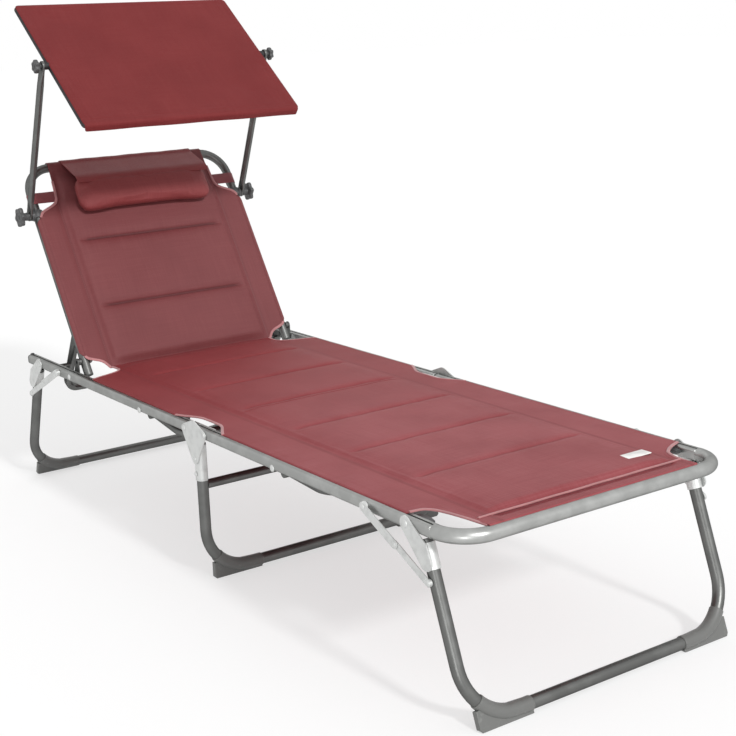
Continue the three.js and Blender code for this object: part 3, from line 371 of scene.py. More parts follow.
# Powder coat: a fine orange peel, and a faint cloudiness in its gloss
def tubePaint(name, look):
    paint = Paint(name, **look, Specular_Tint=(0.3, 0.3, 0.3, 1))
    where = paint.place()
    cloud = paint.noise(where, 35.0, 3.0)
    paint.set(Roughness=look["roughness"] + (cloud - 0.5) * 0.16)
    paint.set(Base_Color=paint.mix(cloud.ramp(0.35, 0.7), look["color"], [c * 1.18 for c in look["color"]]))
    paint.bump(paint.noise(where, 1400.0, 2.0), 0.00003, 0.4)
    return paint.material


# Pressed sheet: fine rolling marks along it, and dull patches
def sheetPaint(name, look):
    paint = Paint(name, **look)
    where = paint.place()
    marks = paint.noise(paint.stretch(where, (300.0, 300.0, 2400.0)), 1.0, 2.0)
    dull = paint.noise(where, 60.0, 3.0)
    paint.set(Roughness=look["roughness"] + marks * 0.12 + (dull - 0.5) * 0.15)
    paint.set(Base_Color=paint.mix(dull.ramp(0.4, 0.75), look["color"], [c * 0.86 for c in look["color"]]))
    paint.bump(marks, 0.00008, 0.4)
    return paint.material


# Moulded plastic: a fine spark grain and lighter scuffs
def plasticPaint(name, look):
    paint = Paint(name, **look)
    where = paint.place()
    grain = paint.noise(where, 1700.0, 1.0)
    scuff = paint.noise(where, 90.0, 4.0).ramp(0.58, 0.78)
    paint.set(Base_Color=paint.mix(scuff * 0.35, look["color"], [c * 2.2 for c in look["color"]]))
    paint.set(Roughness=look["roughness"] + scuff * 0.15)
    paint.bump(grain, 0.0001, 0.5)
    return paint.material


# Woven mesh textile: two sets of coated yarns, sin(u) against sin(v), with yarns that
# vary in tone. The looks' colours are scaled by the tone, partly the cloth's own colour and partly
# painted light that makes a piece lighter or darker as it is lit, and near the bed's foot end by the
# foot's factors too, a painted sheen. Stitched threads run along the side seams beside a band of
# painted shade, and painted crease shadows, blended in by their depth, run across the cloth at
# given places along it.
def clothPaint(name, toneAndLight=(1, 1, 1), seam=0.0, creaseShadows=(), depth=0.5, gloss=0.5, foot=None):
    paint = Paint(name, clothLook["plain"], clothLook["roughness"], Sheen_Weight=clothLook["sheen"],
                  Sheen_Roughness=0.3, Specular_IOR_Level=gloss)
    place, across, along = paint.uv()
    pitch = 2 * math.pi / clothLook["weave"]
    warp = (across * pitch).sine()
    weft = (along * pitch).sine()
    weave = warp * weft
    streaks = paint.noise(paint.stretch(place, clothLook["streak"]), 1.0, 2.0)
    cross = paint.noise(paint.stretch(place, clothLook["cross"]), 1.0, 2.0)
    cloud = paint.noise(place, 7.0, 3.0)
    yarn = (streaks + cross) * 0.5
    plain, light, dark, thread = ([c * k for c, k in zip(clothLook[key], toneAndLight)]
                                  for key in ("plain", "light", "dark", "thread"))
    # Painted sheen: near the foot end the foot's factors lift and pale the colours, for the light the cloth
    # catches at a grazing angle there.
    if foot:
        near = 1 - along.ramp(-0.55, 0.5)
        plain = paint.mix(near, plain, [c * k for c, k in zip(plain, foot)])
        light = paint.mix(near, light, [c * k for c, k in zip(light, foot)])
    color = paint.mix(yarn.ramp(0.3, 0.75), plain, light)
    color = paint.mix(cloud.ramp(0.3, 0.75) * 0.35, color, dark)
    color = paint.mix(weave.ramp(-0.2, -1.0) * 0.5, color, dark)
    # Painted shade: a dark line along each cross seam's crease, faded out before the side seams, for the
    # shadow in the crease.
    for crease in creaseShadows:
        line = (1 - (along - crease).size().ramp(0.0008, 0.0042)) * (1 - across.size().ramp(0.16, 0.18))
        color = paint.mix(line * depth, color, [c * 0.45 for c in dark])
    height = weave * 0.5 + yarn
    if seam:
        beside = (across.size() - seam).size()
        thin = 1 - beside.ramp(0.0004, 0.0011)
        stitch = thin * (along * (2 * math.pi / clothLook["stitch"])).sine().ramp(-0.5, 0.1)
        # Painted shade: a dark band either side of the side seam, for the shadow in its fold; the lighter
        # stitches are the thread's own colour.
        color = paint.mix((1 - beside.ramp(0.001, 0.006)) * 0.4, color, dark)
        color = paint.mix(stitch * 0.5, color, thread)
        height = height + stitch * 1.4
    paint.set(Base_Color=color, Roughness=0.56 + yarn * 0.16)
    paint.bump(height, 0.00028, 0.55)
    return paint.material


# Woven binding tape and webbing: a fine grain, and patches of wear
def tapePaint(name, color):
    paint = Paint(name, color, 0.68, Sheen_Weight=0.3)
    where = paint.place()
    grain = paint.noise(paint.stretch(where, (900.0, 900.0, 900.0)), 1.0, 1.0)
    worn = paint.noise(where, 45.0, 3.0)
    paint.set(Base_Color=paint.mix(worn.ramp(0.3, 0.7), color, [c * 0.8 for c in color]))
    paint.bump(grain, 0.0002, 0.6)
    return paint.material


graphite = tubePaint("graphite_coat", tubeLook)
litRailCoat = tubePaint("lit_rail_coat", litRailLook)
darkCoat = tubePaint("dark_coat", darkLook)
silver = sheetPaint("pressed_sheet", sheetLook)
plastic = plasticPaint("dark_plastic", plasticLook)
shoePlastic = plasticPaint("shoe_plastic", shoeLook)
bedCloth = clothPaint("bed_textile", **bedLook)
backClothPaint = clothPaint("back_textile", **backLook)
shadeClothPaint = clothPaint("shade_textile", **shadeLook)
pillowPaint = clothPaint("pillow_textile", **pillowLook)
bindingTape = tapePaint("binding_tape", (0.42, 0.17, 0.175))
webbing = tapePaint("strap_webbing", (0.2, 0.036, 0.043))
patchPaint = sheetPaint("woven_patch", {"color": (0.82, 0.81, 0.79), "roughness": 0.55, "metallic": 0.1})
print("materials made")


# Tubes of the frame

rails = {"half": 290, "height": 306, "wide": 22, "tall": 20, "corner": 4.6, "grooveWide": 4.2,
         "grooveDeep": 6, "seat": (3, 800), "foot": (-730, -3), "gap": 0.3, "edge": 0.6, "endScale": 0.94,
         "capThick": 4, "humpNear": (5.5, 9, 4.5), "humpFar": (5.2, 8.6, 4.4), "humpLift": 5}
railTop = rails["height"] + rails["tall"] / 2
plateInner = rails["half"] - rails["wide"] / 2 - rails["gap"]
plateOuter = rails["half"] + rails["wide"] / 2 + rails["gap"]


# The rail's section: a rounded box whose top is cut by the groove that holds the cloth
def railSection(grooved):
    ring = roundedBox(rails["wide"] / 2, rails["tall"] / 2, rails["corner"])
    if not grooved:
        return ring
    half, top = rails["grooveWide"] / 2, rails["tall"] / 2
    low = top - rails["grooveDeep"]
    groove = np.array([[half, top], [half, low], [-half, low], [-half, top]])
    return np.concatenate([ring[:6], groove, ring[6:]])


# The section carried from end to end, slightly smaller at the two ends
def railTube(start, end, side, grooved=True):
    y = np.array([start, start + rails["edge"], end - rails["edge"], end], float)
    scale = np.array([rails["endScale"], 1, 1, rails["endScale"]])[:, None]
    ring = railSection(grooved)
    rings = np.stack([side * rails["half"] + ring[:, 0] * scale, np.repeat(y[:, None], len(ring), 1),
                      rails["height"] + ring[:, 1] * scale], -1)
    return tubeOf(rings)


for side, word in sides:
    for section in ("seat", "foot"):
        makePiece(f"rail_{section}_{word}", railTube(*rails[section], side), litRailCoat, f"{section}_section",
                  [f"{section}_rail_{word}"], sharp=30)
    start = rails["seat"][1] + rails["gap"]
    cap = railTube(start, start + rails["capThick"], side, False)
    rings = [np.column_stack([ring[:, 0], np.full(len(ring), y), ring[:, 1]])
             for y, ring in ((start, roundedBox(*rails["humpNear"])),
                             (start + rails["capThick"], roundedBox(*rails["humpFar"])))]
    hump = placed(tubeOf(np.stack(rings)), 0, rails["height"] + rails["humpLift"], 0, side * rails["half"])
    makePiece(f"end_cap_{word}", join(cap, hump), plastic, "seat_section", [f"rail_cap_{word}"],
              bevel=1.0)

footEnd = {"half": 290, "corner": 61, "radius": 12.25, "from": 730.3, "bar": 791}
tube = uTube(footEnd["half"], footEnd["bar"] - footEnd["from"], footEnd["corner"] - rails["gap"],
             circle(footEnd["radius"], 32))
tube = placed(halfTurned(tube, True), -footEnd["from"], rails["height"])
makePiece("end_bar", tube, litRailCoat, "foot_section", ["foot_end_tube"], sharp=50)

bow = {"half": 266, "corner": 40, "radius": 8, "endDrop": 6, "reach": 130, "hang": 14, "ear": 9,
       "seat": {"place": 232, "fall": 21}, "foot": {"place": -281, "fall": 9}}


# A bow: a U tube that falls towards its cross bar, with a boss at each rail. The foot
# section's falls less, which leaves room for the folded foot leg.
def bowShape(place, fall):
    length = math.hypot(fall, bow["reach"])
    arms = placed(uTube(bow["half"], length, bow["corner"], circle(bow["radius"], 24)), 0, 0,
                  math.pi + math.atan2(fall, bow["reach"]))
    arms = placed(arms, 0, -bow["hang"])
    ear = plate(belt([(0, 0, bow["ear"]), (0, -bow["hang"], bow["ear"])]), bow["half"], plateInner)
    ears = [onSide(ear, side) for side, _ in sides]
    return placed(join(arms, *ears), place, rails["height"] - bow["endDrop"])


for word in ("seat", "foot"):
    makePiece(f"{word}_bow_tube", bowShape(**bow[word]), graphite, f"{word}_section", [f"{word}_bow"],
              sharp=50)

legs = {"radius": 11, "corner": 90, "floor": 14.5, "middleTop": 280, "crossRadius": 9, "crossHeight": 196,
        "crossIn": 3, "splay": math.radians(20), "offset": 27, "endTop": 287.7, "rear": 736, "foot": -672}
splay = legs["splay"]
tubeSection = circle(legs["radius"], 32)
middleTube = placed(uTube(rails["half"], legs["middleTop"] - legs["floor"], legs["corner"], tubeSection),
                    0, legs["middleTop"], -math.pi / 2)
makePiece("middle_leg_tube", middleTube, graphite, "middle_leg", ["middle_leg"], sharp=50)
crossEnd = rails["half"] - legs["radius"] + legs["crossIn"]
bar = pin(-crossEnd, crossEnd, legs["crossRadius"], 0, legs["crossHeight"], 28)
makePiece("middle_leg_bar", bar, graphite, "middle_leg", ["middle_leg_crossbar"], sharp=50)


# How far out from its pivot the splayed leg's middle line is at a height, and that height
def onLeg(height):
    along = (rails["height"] + legs["offset"] * math.sin(splay) - height) / math.cos(splay)
    return np.array([legs["offset"] * math.cos(splay) + math.sin(splay) * along, height - rails["height"]])


endLength = (legs["endTop"] - legs["floor"]) / math.cos(splay)
ends = (("rear", legs["rear"], False), ("foot", legs["foot"], True))


# Puts a shape drawn for the head end, from its pivot on the rail, at that end
def atEnd(shape, place, flip):
    return placed(halfTurned(shape, flip), place, rails["height"])


endTube = placed(uTube(rails["half"], endLength, legs["corner"], tubeSection),
                 onLeg(legs["endTop"])[0], legs["endTop"] - rails["height"], splay - math.pi / 2)
for word, place, flip in ends:
    makePiece(f"{word}_leg_tube", atEnd(endTube, place, flip), graphite, f"{word}_leg", [f"{word}_leg"],
              sharp=50)
print("frame tubes made")


# Shoes under the bends. A fin stands on the floor under the bend, and a sleeve goes round
# the bend from one share of its quarter turn to another.
shoeSize = {"inner": 170, "sleeve": 200, "outer": 278, "tall": 33, "nose": 4, "half": 5.5, "wall": 1.7,
            "from": 0.12, "to": 0.56}


# Drawn in the leg's plane, with y down the leg: the fin is an outline given its width,
# whose lower edge is cut flat by the floor, since the leg leans by the tilt.
def shoeShape(length, tilt, side):
    radius, floor = legs["corner"], legs["floor"]
    rise = shoeSize["tall"] - floor
    climb = math.acos((radius - rise) / radius)
    low = floor + shoeSize["half"] * math.tan(tilt)
    turn = np.linspace(climb, 0, 12)
    arc = np.stack([rails["half"] - radius + radius * np.sin(turn), radius * (1 - np.cos(turn))], 1)
    outline = np.concatenate([[[shoeSize["inner"], -low], [shoeSize["outer"] - shoeSize["nose"], -low],
                               [shoeSize["outer"], shoeSize["nose"] - floor], [shoeSize["outer"], rise]],
                              arc, [[shoeSize["inner"], 0]]])
    wide = shoeSize["half"]
    rows = []
    for z in (-wide, wide):
        ring = np.column_stack([outline[:, 0], length - outline[:, 1], np.full(len(outline), z)])
        reach = floor + z * math.tan(tilt)
        ring[:, 1] = np.minimum(ring[:, 1], length + reach * 0.995)
        rows.append(ring)
    block = tubeOf(np.stack(rows))
    bend = np.linspace(shoeSize["from"], shoeSize["to"], 12) * math.pi / 2
    path = np.column_stack([rails["half"] - radius + radius * np.sin(bend),
                            length - radius * (1 - np.cos(bend)), np.zeros(12)])
    straight = [[x, length, 0] for x in (shoeSize["inner"], (shoeSize["inner"] + shoeSize["sleeve"]) / 2)]
    run = np.concatenate([straight, path])
    sleeve = sweep(run, headings(run), circle(legs["radius"] + shoeSize["wall"], 28))
    return onSide(join(block, sleeve), side)


for side, word in sides:
    shape = shoeShape(legs["middleTop"] - legs["floor"], 0, side)
    shape = placed(shape, 0, legs["middleTop"], -math.pi / 2)
    makePiece(f"middle_shoe_cover_{word}", shape, shoePlastic, "middle_leg", [f"middle_shoe_{word}"],
              bevel=1.2)
    for name, place, flip in ends:
        shape = placed(shoeShape(endLength, splay, -side if flip else side), onLeg(legs["endTop"])[0],
                       legs["endTop"] - rails["height"], splay - math.pi / 2)
        makePiece(f"{name}_shoe_cover_{word}", atEnd(shape, place, flip), shoePlastic, f"{name}_leg",
                  [f"{name}_shoe_{word}"], bevel=1.2)
print("shoes made")


# Pressed plates, links and rivets
hinge = {"fold": 37.5, "top": 1, "corner": 8.5, "neck": 252, "neckHalf": 11.5, "tip": 9, "hump": 20.5,
         "humpLift": 1, "innerTip": 297, "thick": 2.5, "sleeve": (279, 207), "sleeveWall": 1.6,
         "legRivets": (251, 221), "legRivet": (4.6, 2.0), "sunk": 0.15}


# A sleeve pressed round a tube from one height to another. It goes from start to end, in
# half turns, of which 0.5 faces outwards.
def halfSleeve(top, foot, radius, wall, start, end):
    axis = np.array([0, *(foot - top)])
    axis /= np.linalg.norm(axis)
    out = np.array([1.0, 0, 0])
    ahead = np.cross(axis, out)
    turn = np.linspace(start * math.pi, end * math.pi, 18) - math.pi / 2
    outer = (radius + wall) * (np.cos(turn)[:, None] * out + np.sin(turn)[:, None] * ahead)
    inner = radius * (np.cos(turn)[::-1, None] * out + np.sin(turn)[::-1, None] * ahead)
    ring = np.concatenate([outer, inner])
    ends = [np.array([rails["half"], *p]) + ring for p in (top, foot)]
    return tubeOf(np.stack(ends))


# The outer plate: a belt round the two fold pins, the neck on the leg and a hump over the
# rail, with a sleeve on the leg. The inner plate is a low triangle. The rivets' heads are
# sunk a little into the plates.
for side, word in sides:
    corner = rails["height"] - hinge["top"]
    hump = (0, rails["height"] + hinge["humpLift"], hinge["hump"])
    outer = belt([(0, hinge["neck"], hinge["neckHalf"]), (hinge["fold"], corner, hinge["corner"]), hump,
                  (-hinge["fold"], corner, hinge["corner"])])
    shapes = [plate(outer, plateOuter, plateOuter + hinge["thick"])]
    top, foot = (np.array([0, height], float) for height in hinge["sleeve"])
    shapes.append(halfSleeve(top, foot, legs["radius"] + 0.2, hinge["sleeveWall"], -0.15, 1.15))
    face = plateOuter + hinge["thick"] - hinge["sunk"]
    shapes += [rivet(face, 1, y, rails["height"]) for y in (-hinge["fold"], hinge["fold"])]
    shapes += [rivet(face, 1, 0, z, *hinge["legRivet"]) for z in hinge["legRivets"]]
    makePiece(f"outer_plate_{word}", onSide(join(*shapes), side), silver, "middle_leg",
              [f"hinge_plate_outer_{word}"], bevel=0.5)
    inner = belt([(0, hinge["innerTip"], hinge["tip"]), (hinge["fold"], corner, hinge["corner"]),
                  (-hinge["fold"], corner, hinge["corner"])])
    shapes = [plate(inner, plateInner - hinge["thick"], plateInner)]
    face = plateInner - hinge["thick"] + hinge["sunk"]
    shapes += [rivet(face, -1, y, rails["height"]) for y in (-hinge["fold"], hinge["fold"])]
    makePiece(f"inner_plate_{word}", onSide(join(*shapes), side), silver, "middle_leg",
              [f"hinge_plate_inner_{word}"], bevel=0.5)

bracket = {"pivot": 13, "sleeveTop": 283, "sleeveBottom": 243, "wall": 2, "pin": (284, 4)}
stay = {"place": 107, "legHeight": 226, "thick": 2, "radius": 8, "lower": 6.5, "rivet": (5.6, 2.2)}
stayInner = plateOuter + hinge["thick"] + rails["gap"]
stayTop, stayFoot = np.array([-stay["place"], 0.0]), onLeg(stay["legHeight"])
elbow = (stayTop + stayFoot) / 2


# A link from one pivot to the other: a belt round its two ends
def linkShape(start, end, x, radius):
    return plate(belt([(*start, radius), (*end, radius)]), x, x + stay["thick"])


# The end leg's bracket: a plate from the pivot down to the leg, and a sleeve round the leg
def bracketShape():
    top, foot = onLeg(bracket["sleeveTop"]), onLeg(bracket["sleeveBottom"])
    outline = belt([(0, 0, bracket["pivot"]), (foot[0] - 4, foot[1] + 12, 12),
                    (foot[0] + 1, foot[1] + 12, 12), (top[0] + 7, top[1] - 4, 10)])
    start, radius = bracket["pin"]
    return join(plate(outline, plateOuter, plateOuter + hinge["thick"]),
                halfSleeve(top, foot, legs["radius"] + rails["gap"], bracket["wall"], -0.5, 1.5),
                rivet(plateOuter + hinge["thick"] - hinge["sunk"], 1, 0, 0),
                pin(start, plateOuter + 1, radius, 0, 0))


# The stay's upper link hangs on the rail and lies outside the lower one, which is on the leg
def upperLink():
    x = stayInner + stay["thick"] + rails["gap"]
    start, radius = bracket["pin"]
    return join(linkShape(stayTop, elbow, x, stay["radius"]),
                *(rivet(x + stay["thick"] - hinge["sunk"], 1, *spot, *stay["rivet"])
                  for spot in (stayTop, elbow)),
                pin(start, x + 1, radius, *stayTop), pin(plateOuter, x + 1, stay["radius"], *stayTop))


def lowerLink():
    return join(linkShape(stayFoot, elbow, stayInner, stay["lower"]),
                rivet(stayInner + stay["thick"] - hinge["sunk"], 1, *stayFoot, *stay["rivet"]),
                pin(plateOuter - 6, stayInner + 1, 4, *stayFoot),
                pin(plateOuter, stayInner + 1, stay["lower"], *stayFoot))


for name, place, flip in ends:
    for side, word in sides:
        own = -side if flip else side
        for piece, body, node, shape, bevel in (
                ("bracket_plate", "leg", "leg_bracket", bracketShape(), 0.5),
                ("link_upper", "stay_upper", "stay_upper", upperLink(), 0.4),
                ("link_lower", "stay_lower", "stay_lower", lowerLink(), 0.4)):
            makePiece(f"{name}_{piece}_{word}", atEnd(onSide(shape, own), place, flip), silver,
                      f"{name}_{body}", [f"{name}_{node}_{word}"], bevel=bevel)

# Heads of the rivets that go through the rails
heads = {"seat_section": [(bow["seat"]["place"], bow["endDrop"]), (572, 0)],
         "foot_section": [(bow["foot"]["place"], bow["endDrop"])]}
for body, spots in heads.items():
    shapes = [onSide(rivet(plateOuter - 0.3, 1, y, rails["height"] - drop, 6.4, 2.4), side)
              for y, drop in spots for side, _ in sides]
    makePiece(f"rail_rivets_{body.split('_')[0]}", join(*shapes), silver, body)

# Dark keepers inside the rails, where the cloth is cut away from them
keepers = {"seat_section": [(99, 82), (500, 480)], "foot_section": [(-96, -80), (-700, -664)]}
keeperSize = {"section": (9, 4.4, 3.2, 5), "ends": (0.8, 1, 1, 0.7), "out": 272, "height": 307.5}
for body, spots in keepers.items():
    shapes = []
    for side, _ in sides:
        for end, start in spots:
            ring = roundedBox(*keeperSize["section"])
            y = np.linspace(start, end, 4)
            grow = np.array(keeperSize["ends"])[:, None]
            rings = np.stack([side * keeperSize["out"] + ring[None, :, 0] * grow,
                              np.repeat(y[:, None], len(ring), 1),
                              keeperSize["height"] + ring[None, :, 1] * grow], -1)
            shapes.append(tubeOf(rings))
    makePiece(f"cloth_keepers_{body.split('_')[0]}", join(*shapes), plastic, body,
              sharp=60)
print("plates and links made")


# Back frame, stand, brackets and collars
back = {"y": 576, "z": 335, "tilt": math.radians(57.8), "length": 480.7, "radius": 10, "corner": 62,
        "end": 35, "bush": 7, "cheek": 1.4}
backHalf = plateInner - back["cheek"] - back["bush"] - rails["gap"] - back["radius"]


# A shape drawn flat from the back's hinge, laid on the tilted back
def onBack(shape):
    return placed(shape, back["y"], back["z"], back["tilt"])


tube = uTube(backHalf, back["length"] + back["end"], back["corner"], circle(back["radius"], 32))
makePiece("back_tube", onBack(placed(tube, -back["end"])), graphite, "backrest", ["back_frame"], sharp=50)

# The back's hinge on each rail: a narrow cheek, a bush up to the back's tube, and a pin
# through the tube with a head inside it
fork = {"cheek": [(0, 0, 8.5), (-3, -28, 6), (12, -28, 6)], "thick": 2.4, "bush": 7.5, "flange": 9,
        "pin": 4, "head": (7.5, 9)}
for side, word in sides:
    inner = backHalf - back["radius"] - rails["gap"]
    cheek = plate(belt(fork["cheek"]), plateInner - fork["thick"], plateInner)
    bush = lathe([(backHalf + back["radius"] - 1, fork["bush"]), (plateInner - 3.5, fork["bush"]),
                  (plateInner - 2, fork["flange"])], 0, 0)
    shape = join(cheek, bush, pin(inner - 1, plateInner, fork["pin"], 0, 0),
                 rivet(inner + 0.2, -1, 0, 0, *fork["head"]))
    makePiece(f"hinge_fork_{word}", placed(onSide(shape, side), back["y"], back["z"]), graphite,
              "seat_section", [f"back_hinge_bracket_{word}"], bevel=0.5)

# The stand: a flat U tube whose pivots are on the back and whose pins rest on the racks.
# It leans back a little from the line through them.
stand = {"place": 98, "behind": 4, "half": 237, "deep": 24, "wide": 14, "corner": 25, "reach": 202,
         "pin": 123.4, "back": 9, "widen": 5, "pivotPin": 6, "rackPin": 4, "boss": 6}
tilt = back["tilt"]
standY = back["y"] + math.cos(tilt) * stand["place"] + math.sin(tilt) * stand["behind"]
standZ = back["z"] + math.sin(tilt) * stand["place"] - math.cos(tilt) * stand["behind"]
standFall = standZ - rails["height"]
standTurn = math.atan2(-standFall, math.sqrt(stand["pin"] ** 2 - standFall ** 2))
flat = roundedBox(stand["wide"] / 2, stand["deep"] / 2, stand["wide"] / 2 - 0.1, 8)
loop = uTube(stand["half"] + stand["widen"], stand["reach"], stand["corner"], flat)
shapes = [placed(loop, 0, 0, math.atan2(stand["back"], stand["reach"]))]
for side, _ in sides:
    for end, radius, y in ((backHalf - back["radius"] + 1, stand["pivotPin"], 0),
                           (plateInner - 2, stand["rackPin"], stand["pin"])):
        shapes.append(onSide(pin(stand["half"], end, radius, y, 0), side))
    boss = pin(stand["half"] - stand["boss"], stand["half"] + stand["boss"], stand["deep"] / 2, 0, 0, 28)
    shapes.append(onSide(boss, side))
makePiece("stand_tube", placed(join(*shapes), standY, standZ, standTurn), graphite, "back_stand",
          ["back_stand"], sharp=50)

arm = {"collar": 364.7, "eyeInner": 276, "eyeThick": 6, "eye": 11, "radius": 7.5, "y": 624, "z": 981,
       "pressFrom": 12, "pressOver": 34}
footY = back["y"] + math.cos(tilt) * arm["collar"]
footZ = back["z"] + math.sin(tilt) * arm["collar"]
armLength = math.hypot(arm["y"] - footY, arm["z"] - footZ)
armTurn = math.atan2(arm["z"] - footZ, arm["y"] - footY)


# The arm: a round tube pressed flat at both ends. Half widths along and across the
# flat go from the tube's radius to the eye's, and the end is a half circle.
def armShape():
    s = np.concatenate([arm["eye"] * (1 - np.cos(np.linspace(0.05, math.pi / 2, 9))) - arm["eye"],
                        np.linspace(4, 60, 15), [armLength / 2]])
    s = np.concatenate([s, armLength - s[-2::-1]])
    near = np.minimum(s, armLength - s)
    press = smooth((near - arm["pressFrom"]) / arm["pressOver"])
    tip = np.sqrt(np.clip(1 - (np.minimum(near, 0) / arm["eye"]) ** 2, 0.002, 1))
    wide = (arm["eye"] + (arm["radius"] - arm["eye"]) * press) * tip
    thick = arm["eyeThick"] / 2 + (arm["radius"] - arm["eyeThick"] / 2) * press
    turn = np.linspace(0, 2 * np.pi, 28, endpoint=False)
    power = (0.35 + 0.65 * press)[:, None]
    c = np.sign(np.cos(turn)) * np.abs(np.cos(turn)) ** power
    d = np.sign(np.sin(turn)) * np.abs(np.sin(turn)) ** power
    x = arm["eyeInner"] + arm["eyeThick"] / 2 + c * thick[:, None]
    return tubeOf(np.stack([x, np.broadcast_to(s[:, None], x.shape), d * wide[:, None]], -1))


knobSize = {"radius": 23, "lobe": 2.4, "lobes": 6, "thick": 10, "neck": 9, "armNeck": 14, "shadeNeck": 6,
            "small": 0.64, "turn": 0.3, "count": 96, "shank": 3}


# The knob: rings of radius * (1 - lobe * (1 + cos(lobes * turn))), rounded at both faces,
# with a hollow and a dark cap in its front, on a stepped neck
def knobShape(neck, scale=1.0):
    turn = np.linspace(0, 2 * np.pi, knobSize["count"], endpoint=False)
    wave = 1 + np.cos(knobSize["lobes"] * turn)
    face = arm["eyeInner"] + arm["eyeThick"] + rails["gap"]
    start, end = face + neck, face + neck + knobSize["thick"]
    rows = [(start, 0.35), (start, 0.86), (start + 1.2, 0.97), (start + 3, 1.0), (end - 3, 1.0),
            (end - 1, 0.96), (end, 0.84), (end, 0.52), (end - 1.2, 0.46), (end - 1.2, 0.2)]
    rings = []
    for x, share in rows:
        depth = knobSize["lobe"] * min(1, max(0, (share - 0.4) / 0.5))
        r = knobSize["radius"] * share - depth * wave
        rings.append(np.stack([np.full(len(turn), x), r * np.cos(turn), r * np.sin(turn)], 1))
    body = tubeOf(np.stack(rings))
    base = lathe([(x, knobSize["neck"] + more) for x, more in
                  ((face, 0), (face + 1, 0.6), (start - 1, -0.5), (start + 2, 1))], 0, 0)
    shank = pin(arm["eyeInner"] - arm["eyeThick"], face + 1, knobSize["shank"], 0, 0)
    cap = lathe([(end - 2, 4.4), (end - 0.6, 4.4), (end + 0.1, 3.4), (end + 0.4, 0.3)], 0, 0, 24)
    points, faces = join(body, base, shank, cap)
    return points * [1, scale, scale], faces


collar = {"outer": 14.3, "inner": 10.3, "rows": ((-9, -0.8), (-8, 0), (8, 0), (9, -0.8))}


# The collar: a split ring round the back tube, with a boss that carries the arm
def collarShape():
    turn = np.linspace(-0.15 * math.pi, 1.42 * math.pi, 26) - math.pi / 2
    rings = []
    for y, grow in collar["rows"]:
        outer = np.stack([np.cos(turn), np.sin(turn)], 1) * (collar["outer"] + grow)
        inner = np.stack([np.cos(turn[::-1]), np.sin(turn[::-1])], 1) * collar["inner"]
        ring = np.concatenate([outer, inner])
        rings.append(np.column_stack([backHalf + ring[:, 0], np.full(len(ring), y), ring[:, 1]]))
    boss = lathe([(backHalf + 9, 12), (backHalf + 12, 11.6), (arm["eyeInner"] - 0.4, arm["eye"])], 0, 0)
    return join(tubeOf(np.stack(rings)), boss)


for side, word in sides:
    shape = placed(onSide(armShape(), side), footY, footZ, armTurn)
    makePiece(f"shade_arm_{word}", shape, graphite, "canopy_arms", [f"canopy_arm_{word}"], sharp=60)
    shape = placed(onSide(knobShape(knobSize["armNeck"]), side), footY, footZ, knobSize["turn"])
    makePiece(f"arm_knob_star_{word}", shape, plastic, f"arm_knob_{word}", [f"arm_knob_{word}"],
              sharp=35)
    shape = onSide(knobShape(knobSize["shadeNeck"], knobSize["small"]), side)
    makePiece(f"shade_knob_star_{word}", placed(shape, arm["y"], arm["z"]), plastic,
              f"canopy_knob_{word}", [f"canopy_knob_{word}"], sharp=35)
    shape = placed(onSide(collarShape(), side), footY, footZ, tilt)
    makePiece(f"collar_{word}", shape, plastic, "backrest", [f"arm_collar_{word}"], sharp=45)
    washer = onSide(lathe([(arm["eyeInner"] + 5.9, 9), (arm["eyeInner"] + 7.4, 8.6)], 0, 0), side)
    makePiece(f"arm_washer_{word}", placed(washer, footY, footZ), silver, "canopy_arms",
              bevel=0.3)
print("back frame, arms and knobs made")


# The bed's cloth
cloth = {"thick": 2.0, "sink": 4.0, "rise": 2.5, "crown": 10.5, "pad": 205, "padMargin": 8, "step": 4.2,
         "seams": (391, 204, 17, -170, -357, -544), "crease": 552, "tuck": 2.6}


# Slow and quick ripples: a sum of sines with fixed phases, from -1 to 1
def ripple(a, b, seed):
    phase = np.sin(seed * np.array([1.7, 3.1, 5.3, 7.9])) * 6
    return (np.sin(a / 23 + b / 61 + phase[0]) + np.sin(a / 37 - b / 29 + phase[1])
            + np.sin(a / 11 + b / 83 + phase[2]) * 0.5 + np.sin(b / 13 - a / 71 + phase[3]) * 0.5) / 3


# How high the pad stands at a place: crown * (1 - |x / pad|^10), pressed down in a narrow
# valley along each cross seam, with small puckers beside the stitches
def padHeight(x, y, seams, pad, depth, width, reach=170.0):
    share = np.abs(x) / pad
    swell = np.clip(1 - share ** 10, 0, 1)
    away = np.min(np.abs(y[..., None] - np.asarray(seams, float)), axis=-1)
    fade = 1 - smooth((np.abs(x) - reach) / 22)
    valley = (0.72 * np.exp(-(away / width) ** 1.5) + 0.28 * np.exp(-(away / 3.0) ** 2)) * fade
    pucker = np.exp(-(away / (width * 1.8)) ** 2) * fade * ripple(x * 3.1, y * 0.4, 2.0) * 0.55
    beside = np.exp(-((np.abs(x) - pad + 12) / 10) ** 2) * ripple(y * 2.3, x * 0.3, 5.0) * 0.55
    return cloth["rise"] + (cloth["crown"] - depth * valley) * swell + (pucker + beside) * (share < 1) \
        + ripple(x, y, 9.0) * 0.5 * swell


# Columns across: close together at the side seam, then out to each edge
def columnShares():
    inside = np.concatenate([np.linspace(0, 0.88, 40), np.linspace(0.895, 1.0, 14)])
    outside = np.concatenate([np.linspace(0.06, 0.93, 12), [0.955, 0.975, 0.99, 1.0]])
    return inside, outside


